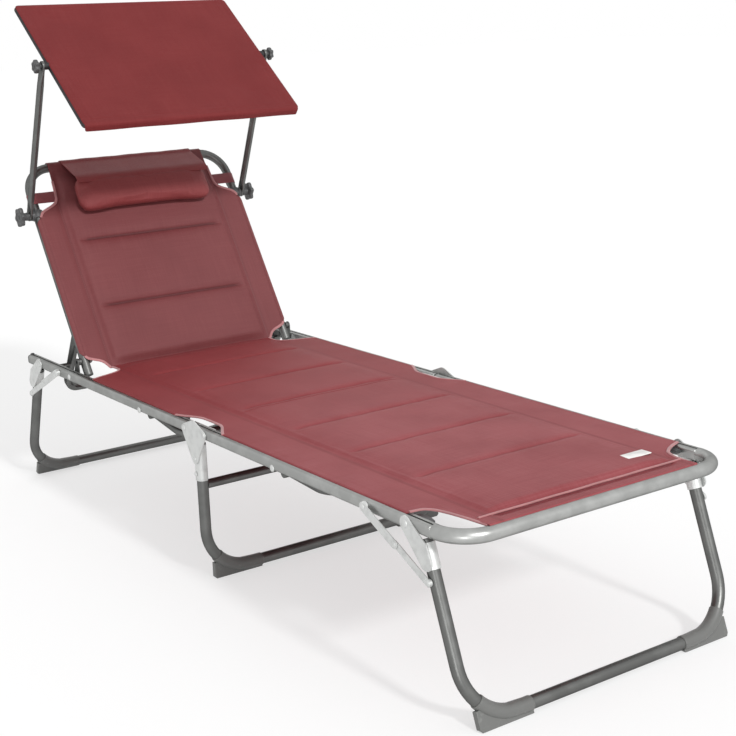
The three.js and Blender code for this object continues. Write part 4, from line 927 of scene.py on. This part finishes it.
# The cloth: an upper and a lower skin over one grid, joined round the border. Each row has
# a place on the path (y, z), its lean, and how far it reaches to the left and the right.
def clothShape(rows, top, bottom):
    y, z, lean, wideLeft, wideRight, along = (np.asarray(r, float)[:, None] for r in rows)
    inside, outside = columnShares()
    halves = []
    for wide in (wideLeft, wideRight):
        pad = np.minimum(cloth["pad"], wide - cloth["padMargin"])
        halves.append(np.concatenate([inside[None] * pad, pad + outside[None] * (wide - pad)], 1))
    x = np.concatenate([-halves[0][:, :0:-1], halves[1]], 1)
    reach = np.where(x < 0, wideLeft, wideRight)
    v = np.broadcast_to(along, x.shape)
    skins = []
    for off in (top(x, v, reach), bottom(x, v, reach)):
        skins.append(np.stack([x, y - np.sin(lean) * off, z + np.cos(lean) * off], -1))
    count, cols = x.shape
    points = np.concatenate([skins[0].reshape(-1, 3), skins[1].reshape(-1, 3)])
    upper = np.array(gridFaces(count, cols, False))
    lower = upper[:, ::-1] + count * cols
    ring = np.concatenate([np.arange(cols), np.arange(1, count) * cols + cols - 1,
                           (count - 1) * cols + np.arange(cols - 2, -1, -1),
                           np.arange(count - 2, 0, -1) * cols])
    nextRing = np.roll(ring, -1)
    border = np.stack([ring, ring + count * cols, nextRing + count * cols, nextRing], 1)
    uv = np.stack([x, v], -1).reshape(-1, 2) * 0.001
    return (points, np.concatenate([upper, lower, border]).tolist()), np.concatenate([uv, uv])


# How far out a place is, as a share of the pad's half width there
def padShare(x, reach):
    return np.abs(x) / np.minimum(cloth["pad"], reach - cloth["padMargin"])


# How far the outermost strip is tucked down, from 0 to 1 as a square
def tucked(x, reach, width):
    return np.clip((np.abs(x) - reach + width) / width, 0, 1) ** 2


# Heights of the bed's two skins above the rail's top. The pad sinks between the rails, and
# the edge goes down into the groove wherever the cloth is held there.
def bedSkins(seams, depth, width, padFade, held):
    def top(x, y, reach):
        pad = np.minimum(cloth["pad"], reach - cloth["padMargin"])
        share = padShare(x, reach)
        outside = smooth((share - 0.9) / 0.1)
        level = np.where(share < 1, -cloth["sink"], 0) * (1 - outside) + 0.3 * outside
        swell = np.where(share < 1, padHeight(x, y, seams, pad, depth, width), 0)
        high = level + cloth["thick"] + swell * padFade(y) * (1 - smooth((share - 0.93) / 0.07))
        hem = 0.5 * np.exp(-((np.abs(x) - reach + 14) / 1.6) ** 2)
        slack = ripple(y * 1.3, x, 4.0) * 0.5 * np.clip((share - 1) * 6, 0, 1)
        return high - tucked(x, reach, cloth["tuck"]) * 3.4 * held(y) + (slack - hem) * (share > 1.02)

    def bottom(x, y, reach):
        outside = smooth((padShare(x, reach) - 0.93) / 0.07)
        level = -cloth["sink"] * (1 - outside) + 0.25 * outside
        return level - tucked(x, reach, cloth["tuck"]) * 3.8 * held(y)

    return top, bottom


# Places along a cloth: even steps, and five rows close together at each seam
def spaced(start, end, seams):
    base = np.linspace(start, end, max(4, int(abs(end - start) / cloth["step"])))
    near = [s + d for s in seams for d in (-5, -2.5, 0, 2.5, 5) if min(start, end) < s + d < max(start, end)]
    return np.unique(np.round(np.concatenate([base, near]), 3))


seatOutline = ([0, 30, 48, 66, 84, 95, 468, 478, 487, 497, 507, 520, 535, 552],
               [262, 263, 268, 278, 287, 291, 291, 276, 250, 225, 212, 206, 206, 208])
y = spaced(0.0, cloth["crease"], cloth["seams"])
wide = curveThrough(*seatOutline, y)
rows = (y, np.full_like(y, railTop), np.zeros_like(y), wide, wide, y)
valley = {"depth": 5.0, "width": 9.0}
seatSpan = {"flatten": (500, 552), "grip": (88, 96), "release": (462, 468)}
skins = bedSkins(cloth["seams"], valley["depth"], valley["width"],
                 lambda v: 1 - 0.55 * rising(v, seatSpan["flatten"]),
                 lambda v: rising(v, seatSpan["grip"]) * (1 - rising(v, seatSpan["release"])))
shape, uv = clothShape(rows, *skins)
seatPad = makePiece("seat_pad", shape, bedCloth, None, ["seat_cloth"], sharp=75, uv=uv)
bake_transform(seatPad)

# The foot section's cloth. Its two corners at the foot end are cut away differently: the
# left one further up than the right one.
footLeft = ([-793, -789, -737, -688, -666, -660, -95, -84, -66, -48, -30, 0],
            [232, 233, 239, 249, 263, 291, 291, 287, 277, 267, 262, 262])
footRight = ([-793, -750, -715, -700, -688, -680, -95, -84, -66, -48, -30, 0],
             [219, 221, 232, 249, 272, 291, 291, 287, 277, 267, 262, 262])
footHem = {"end": 792, "rise": 735, "seam": 755, "plain": (760, 774), "tuck": 2.4}
footSpan = {"flatten": (738, 755), "grip": (88, 96), "release": (656, 662)}
y = spaced(0.0, -footHem["end"], cloth["seams"])
y = np.unique(np.concatenate([y, -footHem["end"] + np.array([0.6, 1.2, 1.8, 2.4])]))
barTop = rails["height"] + footEnd["radius"]
climb = rising(-y, (footHem["rise"], footEnd["bar"]))
level = railTop + climb * (barTop - railTop + 0.1)
rows = (y, level, np.zeros_like(y), curveThrough(*footLeft, y), curveThrough(*footRight, y), y)
footTop, footBottom = bedSkins(cloth["seams"], valley["depth"], valley["width"],
                               lambda v: 0.94 * (1 - rising(-v, footSpan["flatten"])),
                               lambda v: rising(-v, footSpan["grip"]) * (1 - rising(-v, footSpan["release"])))


# Past the seam the cloth lies plain, rises to the end bar's top, and its hem turns down
# into the bar
def toBar(skin, flatLevel):
    def off(x, v, reach):
        plain = rising(-v, footHem["plain"])
        tuck = tucked(v, footHem["end"], footHem["tuck"])
        return skin(x, v, reach) * (1 - plain) + (0.3 + flatLevel) * plain - tuck * (flatLevel + 0.9)
    return off


shape, uv = clothShape(rows, toBar(footTop, 1.8), toBar(footBottom, 0.0))
footPad = makePiece("foot_pad", shape, bedCloth, None, ["foot_cloth"], sharp=75, uv=uv)
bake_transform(footPad)
print("bed cloth made")


# A tape folded over an edge: a flat oval carried along the edge's line
def edgeTape(path, wide=3.2, thick=1.9):
    return sweep(path, headings(path), circle(1.0, 12) * [wide, thick])


def tapePiece(name, shapes, body=None):
    return makePiece(name, join(*shapes), bindingTape, body, sharp=80)


# A tape along a stretch of one side's outline, at a height
def tapeAlong(outline, start, end, level, side):
    y = np.linspace(start, end, 40)
    x = curveThrough(*outline, y)
    return edgeTape(np.column_stack([side * (x - 0.6), y, np.full_like(y, level)]))


level = railTop + 1.3
tape = tapePiece("seat_binding", [tapeAlong(seatOutline, 0.5, 93, level, side) for side, _ in sides])
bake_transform(tape)
shapes = [tapeAlong(seatOutline, 471, cloth["crease"] - 1, level, side) for side, _ in sides]
tapePiece("crease_binding", shapes, "seat_section")
shapes = [tapeAlong(footLeft, -0.5, -92, level, left), tapeAlong(footRight, -0.5, -92, level, right)]
tape = tapePiece("foot_binding", shapes)
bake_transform(tape)
shapes = [tapeAlong(footLeft, -661.5, -786, level + 0.6, left),
          tapeAlong(footRight, -682, -786, level + 0.6, right)]
tapePiece("corner_binding", shapes, "foot_section")
x = np.linspace(-226, 217, 60)
seam = np.column_stack([x, -footHem["seam"] + 0.4 * np.sin(x / 17), np.full(60, railTop + 3.0)])
tapePiece("end_seam", [edgeTape(seam, 2.4, 1.6)], "foot_section")


# The back's cloth, drawn flat along s from the hinge. Its upper end goes round the top bar.
backCloth = {"level": 9.3, "seams": (117, 283), "bottom": -31, "depth": 9.0, "width": 11.0, "reach": 172.0,
             "tuck": 4, "lift": 1.9, "turns": 12, "barWide": 201.5, "swell": (-30, -6), "flatten": (425, 465),
             "hemFrom": (6, 16), "hemTo": (342, 352)}
backOutline = ([-32, -24, -15, -9, -4, 1, 6, 345, 356, 365, 372, 379, 388, 398, 430, 482],
               [208, 214, 221, 230, 244, 256, 260, 260, 258, 251, 238, 223, 212, 208, 205, 202])
s = spaced(backCloth["bottom"], back["length"], backCloth["seams"])
wide = curveThrough(*backOutline, s)
turns = np.linspace(0.1, 0.95, backCloth["turns"]) * math.pi
atBar = np.ones(backCloth["turns"])
wide = np.concatenate([wide, atBar * backCloth["barWide"]])
rows = (np.concatenate([s, atBar * back["length"]]), np.zeros(len(wide)),
        np.concatenate([np.zeros_like(s), -turns]), wide, wide,
        np.concatenate([s, back["length"] + turns * 12]))


# Heights of the back's two skins: a level that lifts outside the pad onto the side tubes,
# the pad above it, and past the back's length a constant distance from the bar's middle
def backLevel(x, reach):
    return backCloth["level"] + smooth((padShare(x, reach) - 1) / 0.08) * backCloth["lift"]


def backTop(x, v, reach):
    pad = np.minimum(cloth["pad"], reach - cloth["padMargin"])
    share = padShare(x, reach)
    fade = rising(v, backCloth["swell"]) * (1 - rising(v, backCloth["flatten"]))
    swell = padHeight(x, v, backCloth["seams"], pad, backCloth["depth"], backCloth["width"],
                      backCloth["reach"])
    high = np.where(share < 1, swell * fade, 0)
    edge = 1 - smooth((share - 0.93) / 0.07)
    out = backLevel(x, reach) + cloth["thick"] + high * edge - tucked(x, reach, backCloth["tuck"]) * 1.4
    return np.where(v > back["length"], back["radius"] + 2.6, out)


def backBottom(x, v, reach):
    out = backLevel(x, reach) - tucked(x, reach, backCloth["tuck"]) * 0.6
    return np.where(v > back["length"], back["radius"] + 0.5, out)


shape, uv = clothShape(rows, backTop, backBottom)
backPad = makePiece("back_pad", onBack(shape), backClothPaint, None, ["back_cloth"], sharp=75,
                    uv=uv)
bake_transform(backPad)

# The cloth's sides go over the frame's tube: a strip from its top to its outer side
s = np.linspace(backCloth["hemFrom"][0], backCloth["hemTo"][1], 60)
turn = np.linspace(math.pi / 2, math.radians(38), 7)
fade = rising(s, backCloth["hemFrom"]) * (1 - rising(s, backCloth["hemTo"]))
for side, word in sides:
    skins = []
    for radius in (back["radius"] + 2.3, back["radius"] + 0.4):
        angle = math.pi / 2 + (turn - math.pi / 2)[None] * fade[:, None]
        skins.append(np.stack([backHalf + radius * np.cos(angle), np.broadcast_to(s[:, None], angle.shape),
                               radius * np.sin(angle)], -1))
    rings = np.concatenate([skins[0], skins[1][:, ::-1]], 1)
    uv = np.stack([rings[:, :, 0] + rings[:, :, 2], rings[:, :, 1]], -1).reshape(-1, 2) * 0.001
    makePiece(f"back_hem_{word}", onBack(onSide(tubeOf(rings), side)), backClothPaint, "backrest",
              sharp=70, uv=uv)

# Bands across the upper cut-outs, from the cloth to the tube and round it
bands = {"from": 389, "to": 416, "inner": 200, "thick": 1.8, "clear": 0.4, "sag": 0.8}
for side, word in sides:
    reachIn = np.linspace(bands["inner"], backHalf, 14)
    wrap = np.linspace(math.pi / 2, -math.pi * 0.75, 16)[1:]
    radius = back["radius"] + bands["clear"]
    sag = bands["sag"] * np.sin(np.linspace(0, math.pi, len(reachIn)))
    x = np.concatenate([reachIn, backHalf + radius * np.cos(wrap)])
    h = np.concatenate([radius - sag, radius * np.sin(wrap)])
    path = np.column_stack([x, np.full(len(x), (bands["from"] + bands["to"]) / 2), h])
    flat = roundedBox(bands["thick"] / 2, (bands["to"] - bands["from"]) / 2, 0.85, 3)
    band = sweep(path, headings(path), flat, (0, 1, 0))
    makePiece(f"top_band_{word}", onBack(onSide(band, side)), webbing, "backrest", sharp=60)


# Tapes round the cloth's cut-outs, on both sides
def backTapes(start, end):
    shapes = []
    for side, _ in sides:
        s = np.linspace(start, end, 40)
        wide = curveThrough(*backOutline, s)
        lift = backCloth["level"] + 2.9 + smooth((wide - 235) / 20) * 0.6
        shapes.append(edgeTape(np.column_stack([side * (wide - 0.6), s, lift])))
    return onBack(join(*shapes))


tapePiece("back_binding", [backTapes(353, 440)], "backrest")
tape = tapePiece("hinge_binding", [backTapes(-30, 7)])
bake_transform(tape)
print("back cloth made")


# Pillow
pillowSize = {"left": -174, "right": 172, "bottom": 337, "top": 430, "lift": 24.6, "thick": 39, "flap": 168,
              "voxel": 0.005, "pressure": 4.0, "cap": 0.007, "frames": 20}


# A pillow: a box whose sections are x^p + h^p = 1 ovals, drawn in towards its two ends,
# blown up by a short cloth simulation so that its faces crown and its edges stay tight
def pillowShape():
    rows, cols = 44, 40
    u = np.linspace(-1, 1, rows)
    turn = np.linspace(0, 2 * np.pi, cols, endpoint=False)
    end = (1 - np.abs(u) ** 14) ** (1 / 5)
    c = np.sign(np.cos(turn)) * np.abs(np.cos(turn)) ** 0.42
    d = np.sign(np.sin(turn)) * np.abs(np.sin(turn)) ** 0.5
    deep = (pillowSize["top"] - pillowSize["bottom"]) / 2 - 3
    high = pillowSize["thick"] / 2 - 4
    grow = np.clip(end, 0.55, 1)[:, None]
    half = (pillowSize["right"] - pillowSize["left"]) / 2 - 3
    x = (pillowSize["left"] + pillowSize["right"]) / 2 + u * half
    rings = np.stack([np.repeat(x[:, None], cols, 1),
                      (pillowSize["bottom"] + pillowSize["top"]) / 2 + c * deep * grow,
                      pillowSize["lift"] + pillowSize["thick"] / 2 + d * high * grow], -1)
    return tubeOf(rings)


# Remeshed in small voxels, puffed with pressure over some frames, and held near its start
def puffed(piece):
    remesh = piece.modifiers.new("voxels", "REMESH")
    remesh.mode = "VOXEL"
    remesh.voxel_size = pillowSize["voxel"]
    bake(piece)
    before = np.empty(len(piece.data.vertices) * 3)
    piece.data.vertices.foreach_get("co", before)
    soft = piece.modifiers.new("puff", "CLOTH")
    soft.settings.use_pressure = True
    soft.settings.uniform_pressure_force = pillowSize["pressure"]
    soft.settings.effector_weights.gravity = 0
    scene = bpy.context.scene
    scene.frame_start, scene.frame_end = 1, pillowSize["frames"]
    for number in range(1, pillowSize["frames"] + 1):
        scene.frame_set(number)
    bake(piece)
    scene.frame_set(1)
    after = np.empty_like(before)
    piece.data.vertices.foreach_get("co", after)
    move = (after - before).reshape(-1, 3)
    length = np.linalg.norm(move, axis=1)[:, None]
    move *= np.minimum(1, pillowSize["cap"] / np.maximum(length, 1e-9))
    piece.data.vertices.foreach_set("co", (before.reshape(-1, 3) + move).ravel())
    finer = piece.modifiers.new("finer", "SUBSURF")
    finer.levels = finer.render_levels = 1
    bake(piece)


# Puts the modifiers' result into the mesh
def bake(piece):
    bpy.context.view_layer.update()
    finished = bpy.data.meshes.new_from_object(piece.evaluated_get(bpy.context.evaluated_depsgraph_get()))
    piece.modifiers.clear()
    piece.data = finished


pillow = makePiece("head_pillow", onBack(pillowShape()), pillowPaint, None, ["pillow"], sharp=80)
puffed(pillow)
# Its own cloth map: across and along the back, so that the weave follows it
place = np.empty(len(pillow.data.vertices) * 3)
pillow.data.vertices.foreach_get("co", place)
place = place.reshape(-1, 3)
clothMap(pillow.data, np.stack([place[:, 0] + place[:, 1] * 0.3, place[:, 2] * 1.3 + place[:, 1] * 0.4], 1))
pillow.data.materials.clear()
pillow.data.materials.append(pillowPaint)
pillow.data.polygons.foreach_set("use_smooth", np.ones(len(pillow.data.polygons), bool))
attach(pillow, "backrest")

# The flap: a sheet from the pillow's upper front edge over the top bar and down behind.
# Its path gives places along the back and falls from the pillow's top.
flapSize = {"path": ((406, 0.6), (416, 0.6), (423, 3.5), (431, 10), (444, 21), (457, 31), (468, 39.5)),
            "atBar": (476, 17.5), "clear": 3.4, "thick": 1.8, "more": 4, "wave": 0.6}
lift = pillowSize["lift"] + pillowSize["thick"]
flapPath = [[along, lift - fall] for along, fall in flapSize["path"]]
turn = np.linspace(0.03, 0.93, 14) * math.pi
radius = back["radius"] + flapSize["clear"]
roundBar = np.stack([back["length"] + radius * np.sin(turn), radius * np.cos(turn)], 1)
line = np.concatenate([flapPath, [flapSize["atBar"]], roundBar])
heading = headings(np.column_stack([np.zeros(len(line)), line]))
normalTo = np.stack([-heading[:, 2], heading[:, 1]], 1)
x = np.linspace(-pillowSize["flap"], pillowSize["flap"] + flapSize["more"], 60)
wave = (0.5 * np.sin(x / 21) + 0.4 * np.sin(x / 9 + 1)) * flapSize["wave"]
skins = []
for off in (flapSize["thick"] + wave, np.zeros_like(wave)):
    skins.append(np.stack([np.broadcast_to(x, (len(line), len(x))), line[:, :1] + normalTo[:, :1] * off,
                           line[:, 1:] + normalTo[:, 1:] * off], -1))
rings = np.concatenate([skins[0], skins[1][:, ::-1]], 1)
travel = np.concatenate([[0], np.cumsum(np.linalg.norm(np.diff(line, axis=0), axis=1))])
uv = np.stack([rings[:, :, 0], np.broadcast_to(travel[:, None], rings.shape[:2])], -1).reshape(-1, 2) * 0.001
flap = makePiece("pillow_flap", onBack(tubeOf(rings)), pillowPaint, "backrest", sharp=70,
                 uv=uv)
print("pillow made")


# Canopy
shade = {"half": 262, "reach": 197, "corner": 5, "tube": 6, "sag": 6, "skirt": 9, "thick": 1.2,
         "tilt": math.radians(38.1), "lug": 8}


def onShade(shape):
    return placed(shape, arm["y"], arm["z"], shade["tilt"])


# The loop of tube that the canopy is stretched over: a rounded rectangle's line
corner = shade["corner"]
line = roundedBox(shade["half"], shade["reach"], corner, 12)
path = np.column_stack([line, np.zeros(len(line))])
step = np.roll(path, -1, 0) - np.roll(path, 1, 0)
heading = step / np.linalg.norm(step, axis=1)[:, None]
sideways = np.cross(heading, [0, 0, 1])
section = circle(shade["tube"], 24)
rings = path[:, None] + section[None, :, :1] * sideways[:, None] + section[None, :, 1:] * [0, 0, 1.0]
count, around = rings.shape[:2]
faces = gridFaces(count, around)
last = (count - 1) * around
faces += [[last + j, last + (j + 1) % around, (j + 1) % around, j] for j in range(around)]
loop = (rings.reshape(-1, 3), faces)
lug = pin(shade["half"] + 3, arm["eyeInner"] - rails["gap"], shade["lug"], 0, 0, 28)
lugs = [onSide(lug, side) for side, _ in sides]
makePiece("shade_tube", onShade(join(loop, *lugs)), darkCoat, "canopy", ["canopy_frame"], sharp=50)


# Points no more than 9 mm apart along the frame's line, which is closed
def shadeOutline():
    spots = []
    for start, end in zip(line, np.roll(line, -1, 0)):
        count = max(1, int(np.linalg.norm(end - start) / 9))
        spots.append(start + (end - start) * np.linspace(0, 1, count, endpoint=False)[:, None])
    return np.concatenate(spots)


# The canopy: one sheet of rings about its middle. Each ring is the rounded outline scaled
# in, and sags by sag * (1 - share^2)^1.3; past the tube it turns down into the skirt,
# which is left out at the two sides.
def shadeShape():
    reach = shade["tube"] + 0.6
    outer = reach + shade["thick"]
    shares = np.concatenate([np.linspace(0.02, 0.9, 36), np.linspace(0.915, 1.0, 8)])
    dense = shadeOutline()
    away = dense - np.stack([np.clip(dense[:, 0], corner - shade["half"], shade["half"] - corner),
                             np.clip(dense[:, 1], corner - shade["reach"], shade["reach"] - corner)], 1)
    away /= np.linalg.norm(away, axis=1)[:, None]
    top, low = [], []
    for share in shares:
        ring = dense * share
        sag = shade["sag"] * (1 - share ** 2) ** 1.3
        fold = ripple(ring[:, 0] * 0.7, ring[:, 1] * 0.7, 3.0) * 0.9 * (1 - share ** 4) * share
        hem = -0.7 * math.exp(-((share - 0.945) / 0.006) ** 2)
        top.append(np.column_stack([ring, np.full(len(ring), outer - sag + hem) + fold]))
        low.append(np.column_stack([ring, np.full(len(ring), reach - sag) + fold]))
    beside = smooth((np.maximum(np.abs(away[:, 0]), away[:, 1]) - 0.3) / 0.5)
    for share in np.linspace(0.13, 1, 7):
        angle = math.pi / 2 * share * (1 - 0.6 * beside)
        for skin, radius in ((top, outer), (low, reach)):
            out = away * (radius * np.sin(angle))[:, None]
            skin.append(np.column_stack([dense + out, radius * np.cos(angle)]))
    drop = 0.3 + (shade["skirt"] + 0.5 * np.sin(np.arange(len(dense)) / 3.0)) * (1 - beside)
    for share in (0.5, 1.0):
        for skin in (top, low):
            last = skin[-1 if share < 1 else -2]
            skin.append(last - np.column_stack([np.zeros((len(dense), 2)), drop * share]))
    rings = np.stack(top + low[::-1])
    return tubeOf(rings), rings[:, :, :2].reshape(-1, 2) * 0.001


shape, uv = shadeShape()
shadeSheet = makePiece("shade_sheet", onShade(shape), shadeClothPaint, "canopy", ["canopy_cloth"],
                       sharp=70, uv=uv)
print("canopy made")


# Handles and patch
handle = {"places": (("seat", 400), ("foot", -400)), "half": 75, "drop": 62, "wide": 28, "thick": 2}
for word, place in handle["places"]:
    turn = np.linspace(0, math.pi, 40)
    path = np.column_stack([plateOuter + 1.0 + 0.6 * np.sin(turn), -handle["half"] * np.cos(turn),
                            -handle["drop"] * np.sin(turn)])
    flat = roundedBox(handle["wide"] / 2, handle["thick"] / 2 - 0.1, 0.8, 4)
    strap = sweep(path, headings(path), flat, (1, 0, 0))
    makePiece(f"{word}_carry_strap", placed(strap, place, rails["height"]), webbing, f"{word}_section",
              [f"{word}_handle"], sharp=60)

# The small bare patch sewn on at the foot end
patchSize = {"outline": (38, 12, 2.0, 4), "rows": ((1, 0), (1, 1.0), (0.985, 1.3)), "x": 156, "y": -700,
             "lift": 8.6}
ring = roundedBox(*patchSize["outline"])
patch = tubeOf(np.stack([np.column_stack([ring * scale, np.full(len(ring), z)])
                         for scale, z in patchSize["rows"]]))
patch = placed(patch, patchSize["y"], railTop + patchSize["lift"], 0, patchSize["x"])
makePiece("bare_patch", patch, patchPaint, "foot_section", sharp=50)

# Racks keep their CAD shape
for side, word in sides:
    node = nodes[f"rack_{word}"]
    node.data.materials.clear()
    node.data.materials.append(graphite)
print("small pieces made")


# Floor, light and camera. The camera and glossy rays see a floor that glows a little, so
# that it is as white as the backdrop and still holds the shadow.
stageLook = {"floor": (0.93, 0.93, 0.93), "lift": 0.6, "world": 0.75}
floorMesh = bpy.data.meshes.new("floor")
floorMesh.from_pydata([(-30, -30, 0), (30, -30, 0), (30, 30, 0), (-30, 30, 0)], [], [(0, 1, 2, 3)])
floor = bpy.data.objects.new("floor", floorMesh)
bpy.context.scene.collection.objects.link(floor)
floorPaint = Paint("pale_floor", stageLook["floor"], 0.9)
ray = floorPaint.make("ShaderNodeLightPath", out="Is Camera Ray")
shine = floorPaint.make("ShaderNodeLightPath", out="Is Glossy Ray")
lift = floorPaint.tree.nodes.new("ShaderNodeEmission")
lift.inputs["Strength"].default_value = 1.0
blendNode = floorPaint.tree.nodes.new("ShaderNodeMixShader")
floorPaint.put(blendNode.inputs[0], ray.math("MAXIMUM", shine) * stageLook["lift"])
floorPaint.tree.links.new(floorPaint.shader.outputs[0], blendNode.inputs[1])
floorPaint.tree.links.new(lift.outputs[0], blendNode.inputs[2])
floorPaint.tree.links.new(blendNode.outputs[0], floorPaint.tree.nodes["Material Output"].inputs[0])
floorMesh.materials.append(floorPaint.material)

scene = bpy.context.scene
world = bpy.data.worlds.new("studio")
scene.world = world
world.use_nodes = True
tree = world.node_tree
sky = tree.nodes["Background"]
white = tree.nodes.new("ShaderNodeBackground")
choose = tree.nodes.new("ShaderNodeMixShader")
rays = tree.nodes.new("ShaderNodeLightPath")
share = rays.outputs["Is Camera Ray"]
for key in ("Is Glossy Ray", "Is Transmission Ray"):
    most = tree.nodes.new("ShaderNodeMath")
    most.operation = "MAXIMUM"
    tree.links.new(share, most.inputs[0])
    tree.links.new(rays.outputs[key], most.inputs[1])
    share = most.outputs[0]
sky.inputs["Color"].default_value = (1, 1, 1, 1)
sky.inputs["Strength"].default_value = stageLook["world"]
white.inputs["Color"].default_value = (1, 1, 1, 1)
white.inputs["Strength"].default_value = 1.0
tree.links.new(share, choose.inputs[0])
tree.links.new(sky.outputs[0], choose.inputs[1])
tree.links.new(white.outputs[0], choose.inputs[2])
tree.links.new(choose.outputs[0], tree.nodes["World Output"].inputs[0])

# A soft sun from the foot end, which throws the shadow on the floor, and two soft boxes
sun = {"strength": 1.95, "spread": math.radians(7), "height": math.radians(34), "turn": math.radians(-1)}
lamps = (("back", (1.9, 2.7, 1.6), (0, -0.4, 0.3), (1.2, 1.2), 5),
         ("strip", (-1.95, -2.6, 0.28), (0, -0.2, 0.2), (0.35, 0.5), 12))
data = bpy.data.lights.new("sun", "SUN")
data.energy, data.angle = sun["strength"], sun["spread"]
lamp = bpy.data.objects.new("sun", data)
lamp.rotation_euler = (math.pi / 2 - sun["height"], 0, sun["turn"])
scene.collection.objects.link(lamp)
for name, place, target, size, power in lamps:
    data = bpy.data.lights.new(name, "AREA")
    data.shape = "RECTANGLE"
    data.size, data.size_y = size
    data.energy = power
    lamp = bpy.data.objects.new(name, data)
    lamp.location = place
    way = np.array(target) - np.array(place)
    lamp.rotation_euler = (math.atan2(math.hypot(way[0], way[1]), -way[2]), 0, math.atan2(-way[0], way[1]))
    scene.collection.objects.link(lamp)

view = {"place": (-1.5511, -2.404, 1.0756), "yaw": math.radians(-34.98), "pitch": math.radians(-13.89),
        "roll": math.radians(-2.09), "lens": 70.98}
cosYaw, sinYaw = math.cos(view["yaw"]), math.sin(view["yaw"])
cosPitch, sinPitch = math.cos(view["pitch"]), math.sin(view["pitch"])
forward = np.array([-sinYaw * cosPitch, cosYaw * cosPitch, sinPitch])
level = np.array([cosYaw, sinYaw, 0.0])
up = np.cross(level, forward)
cosRoll, sinRoll = math.cos(view["roll"]), math.sin(view["roll"])
across = level * cosRoll + up * sinRoll
above = up * cosRoll - level * sinRoll
lens = bpy.data.cameras.new("photo_view")
lens.sensor_width = 36.0
lens.sensor_fit = "HORIZONTAL"
lens.lens = view["lens"]
camera = bpy.data.objects.new("photo_view", lens)
camera.matrix_world = Matrix(((across[0], above[0], -forward[0], view["place"][0]),
                              (across[1], above[1], -forward[1], view["place"][1]),
                              (across[2], above[2], -forward[2], view["place"][2]), (0, 0, 0, 1)))
scene.collection.objects.link(camera)
scene.camera = camera
scene.view_settings.view_transform = "Standard"
print("camera and light set")
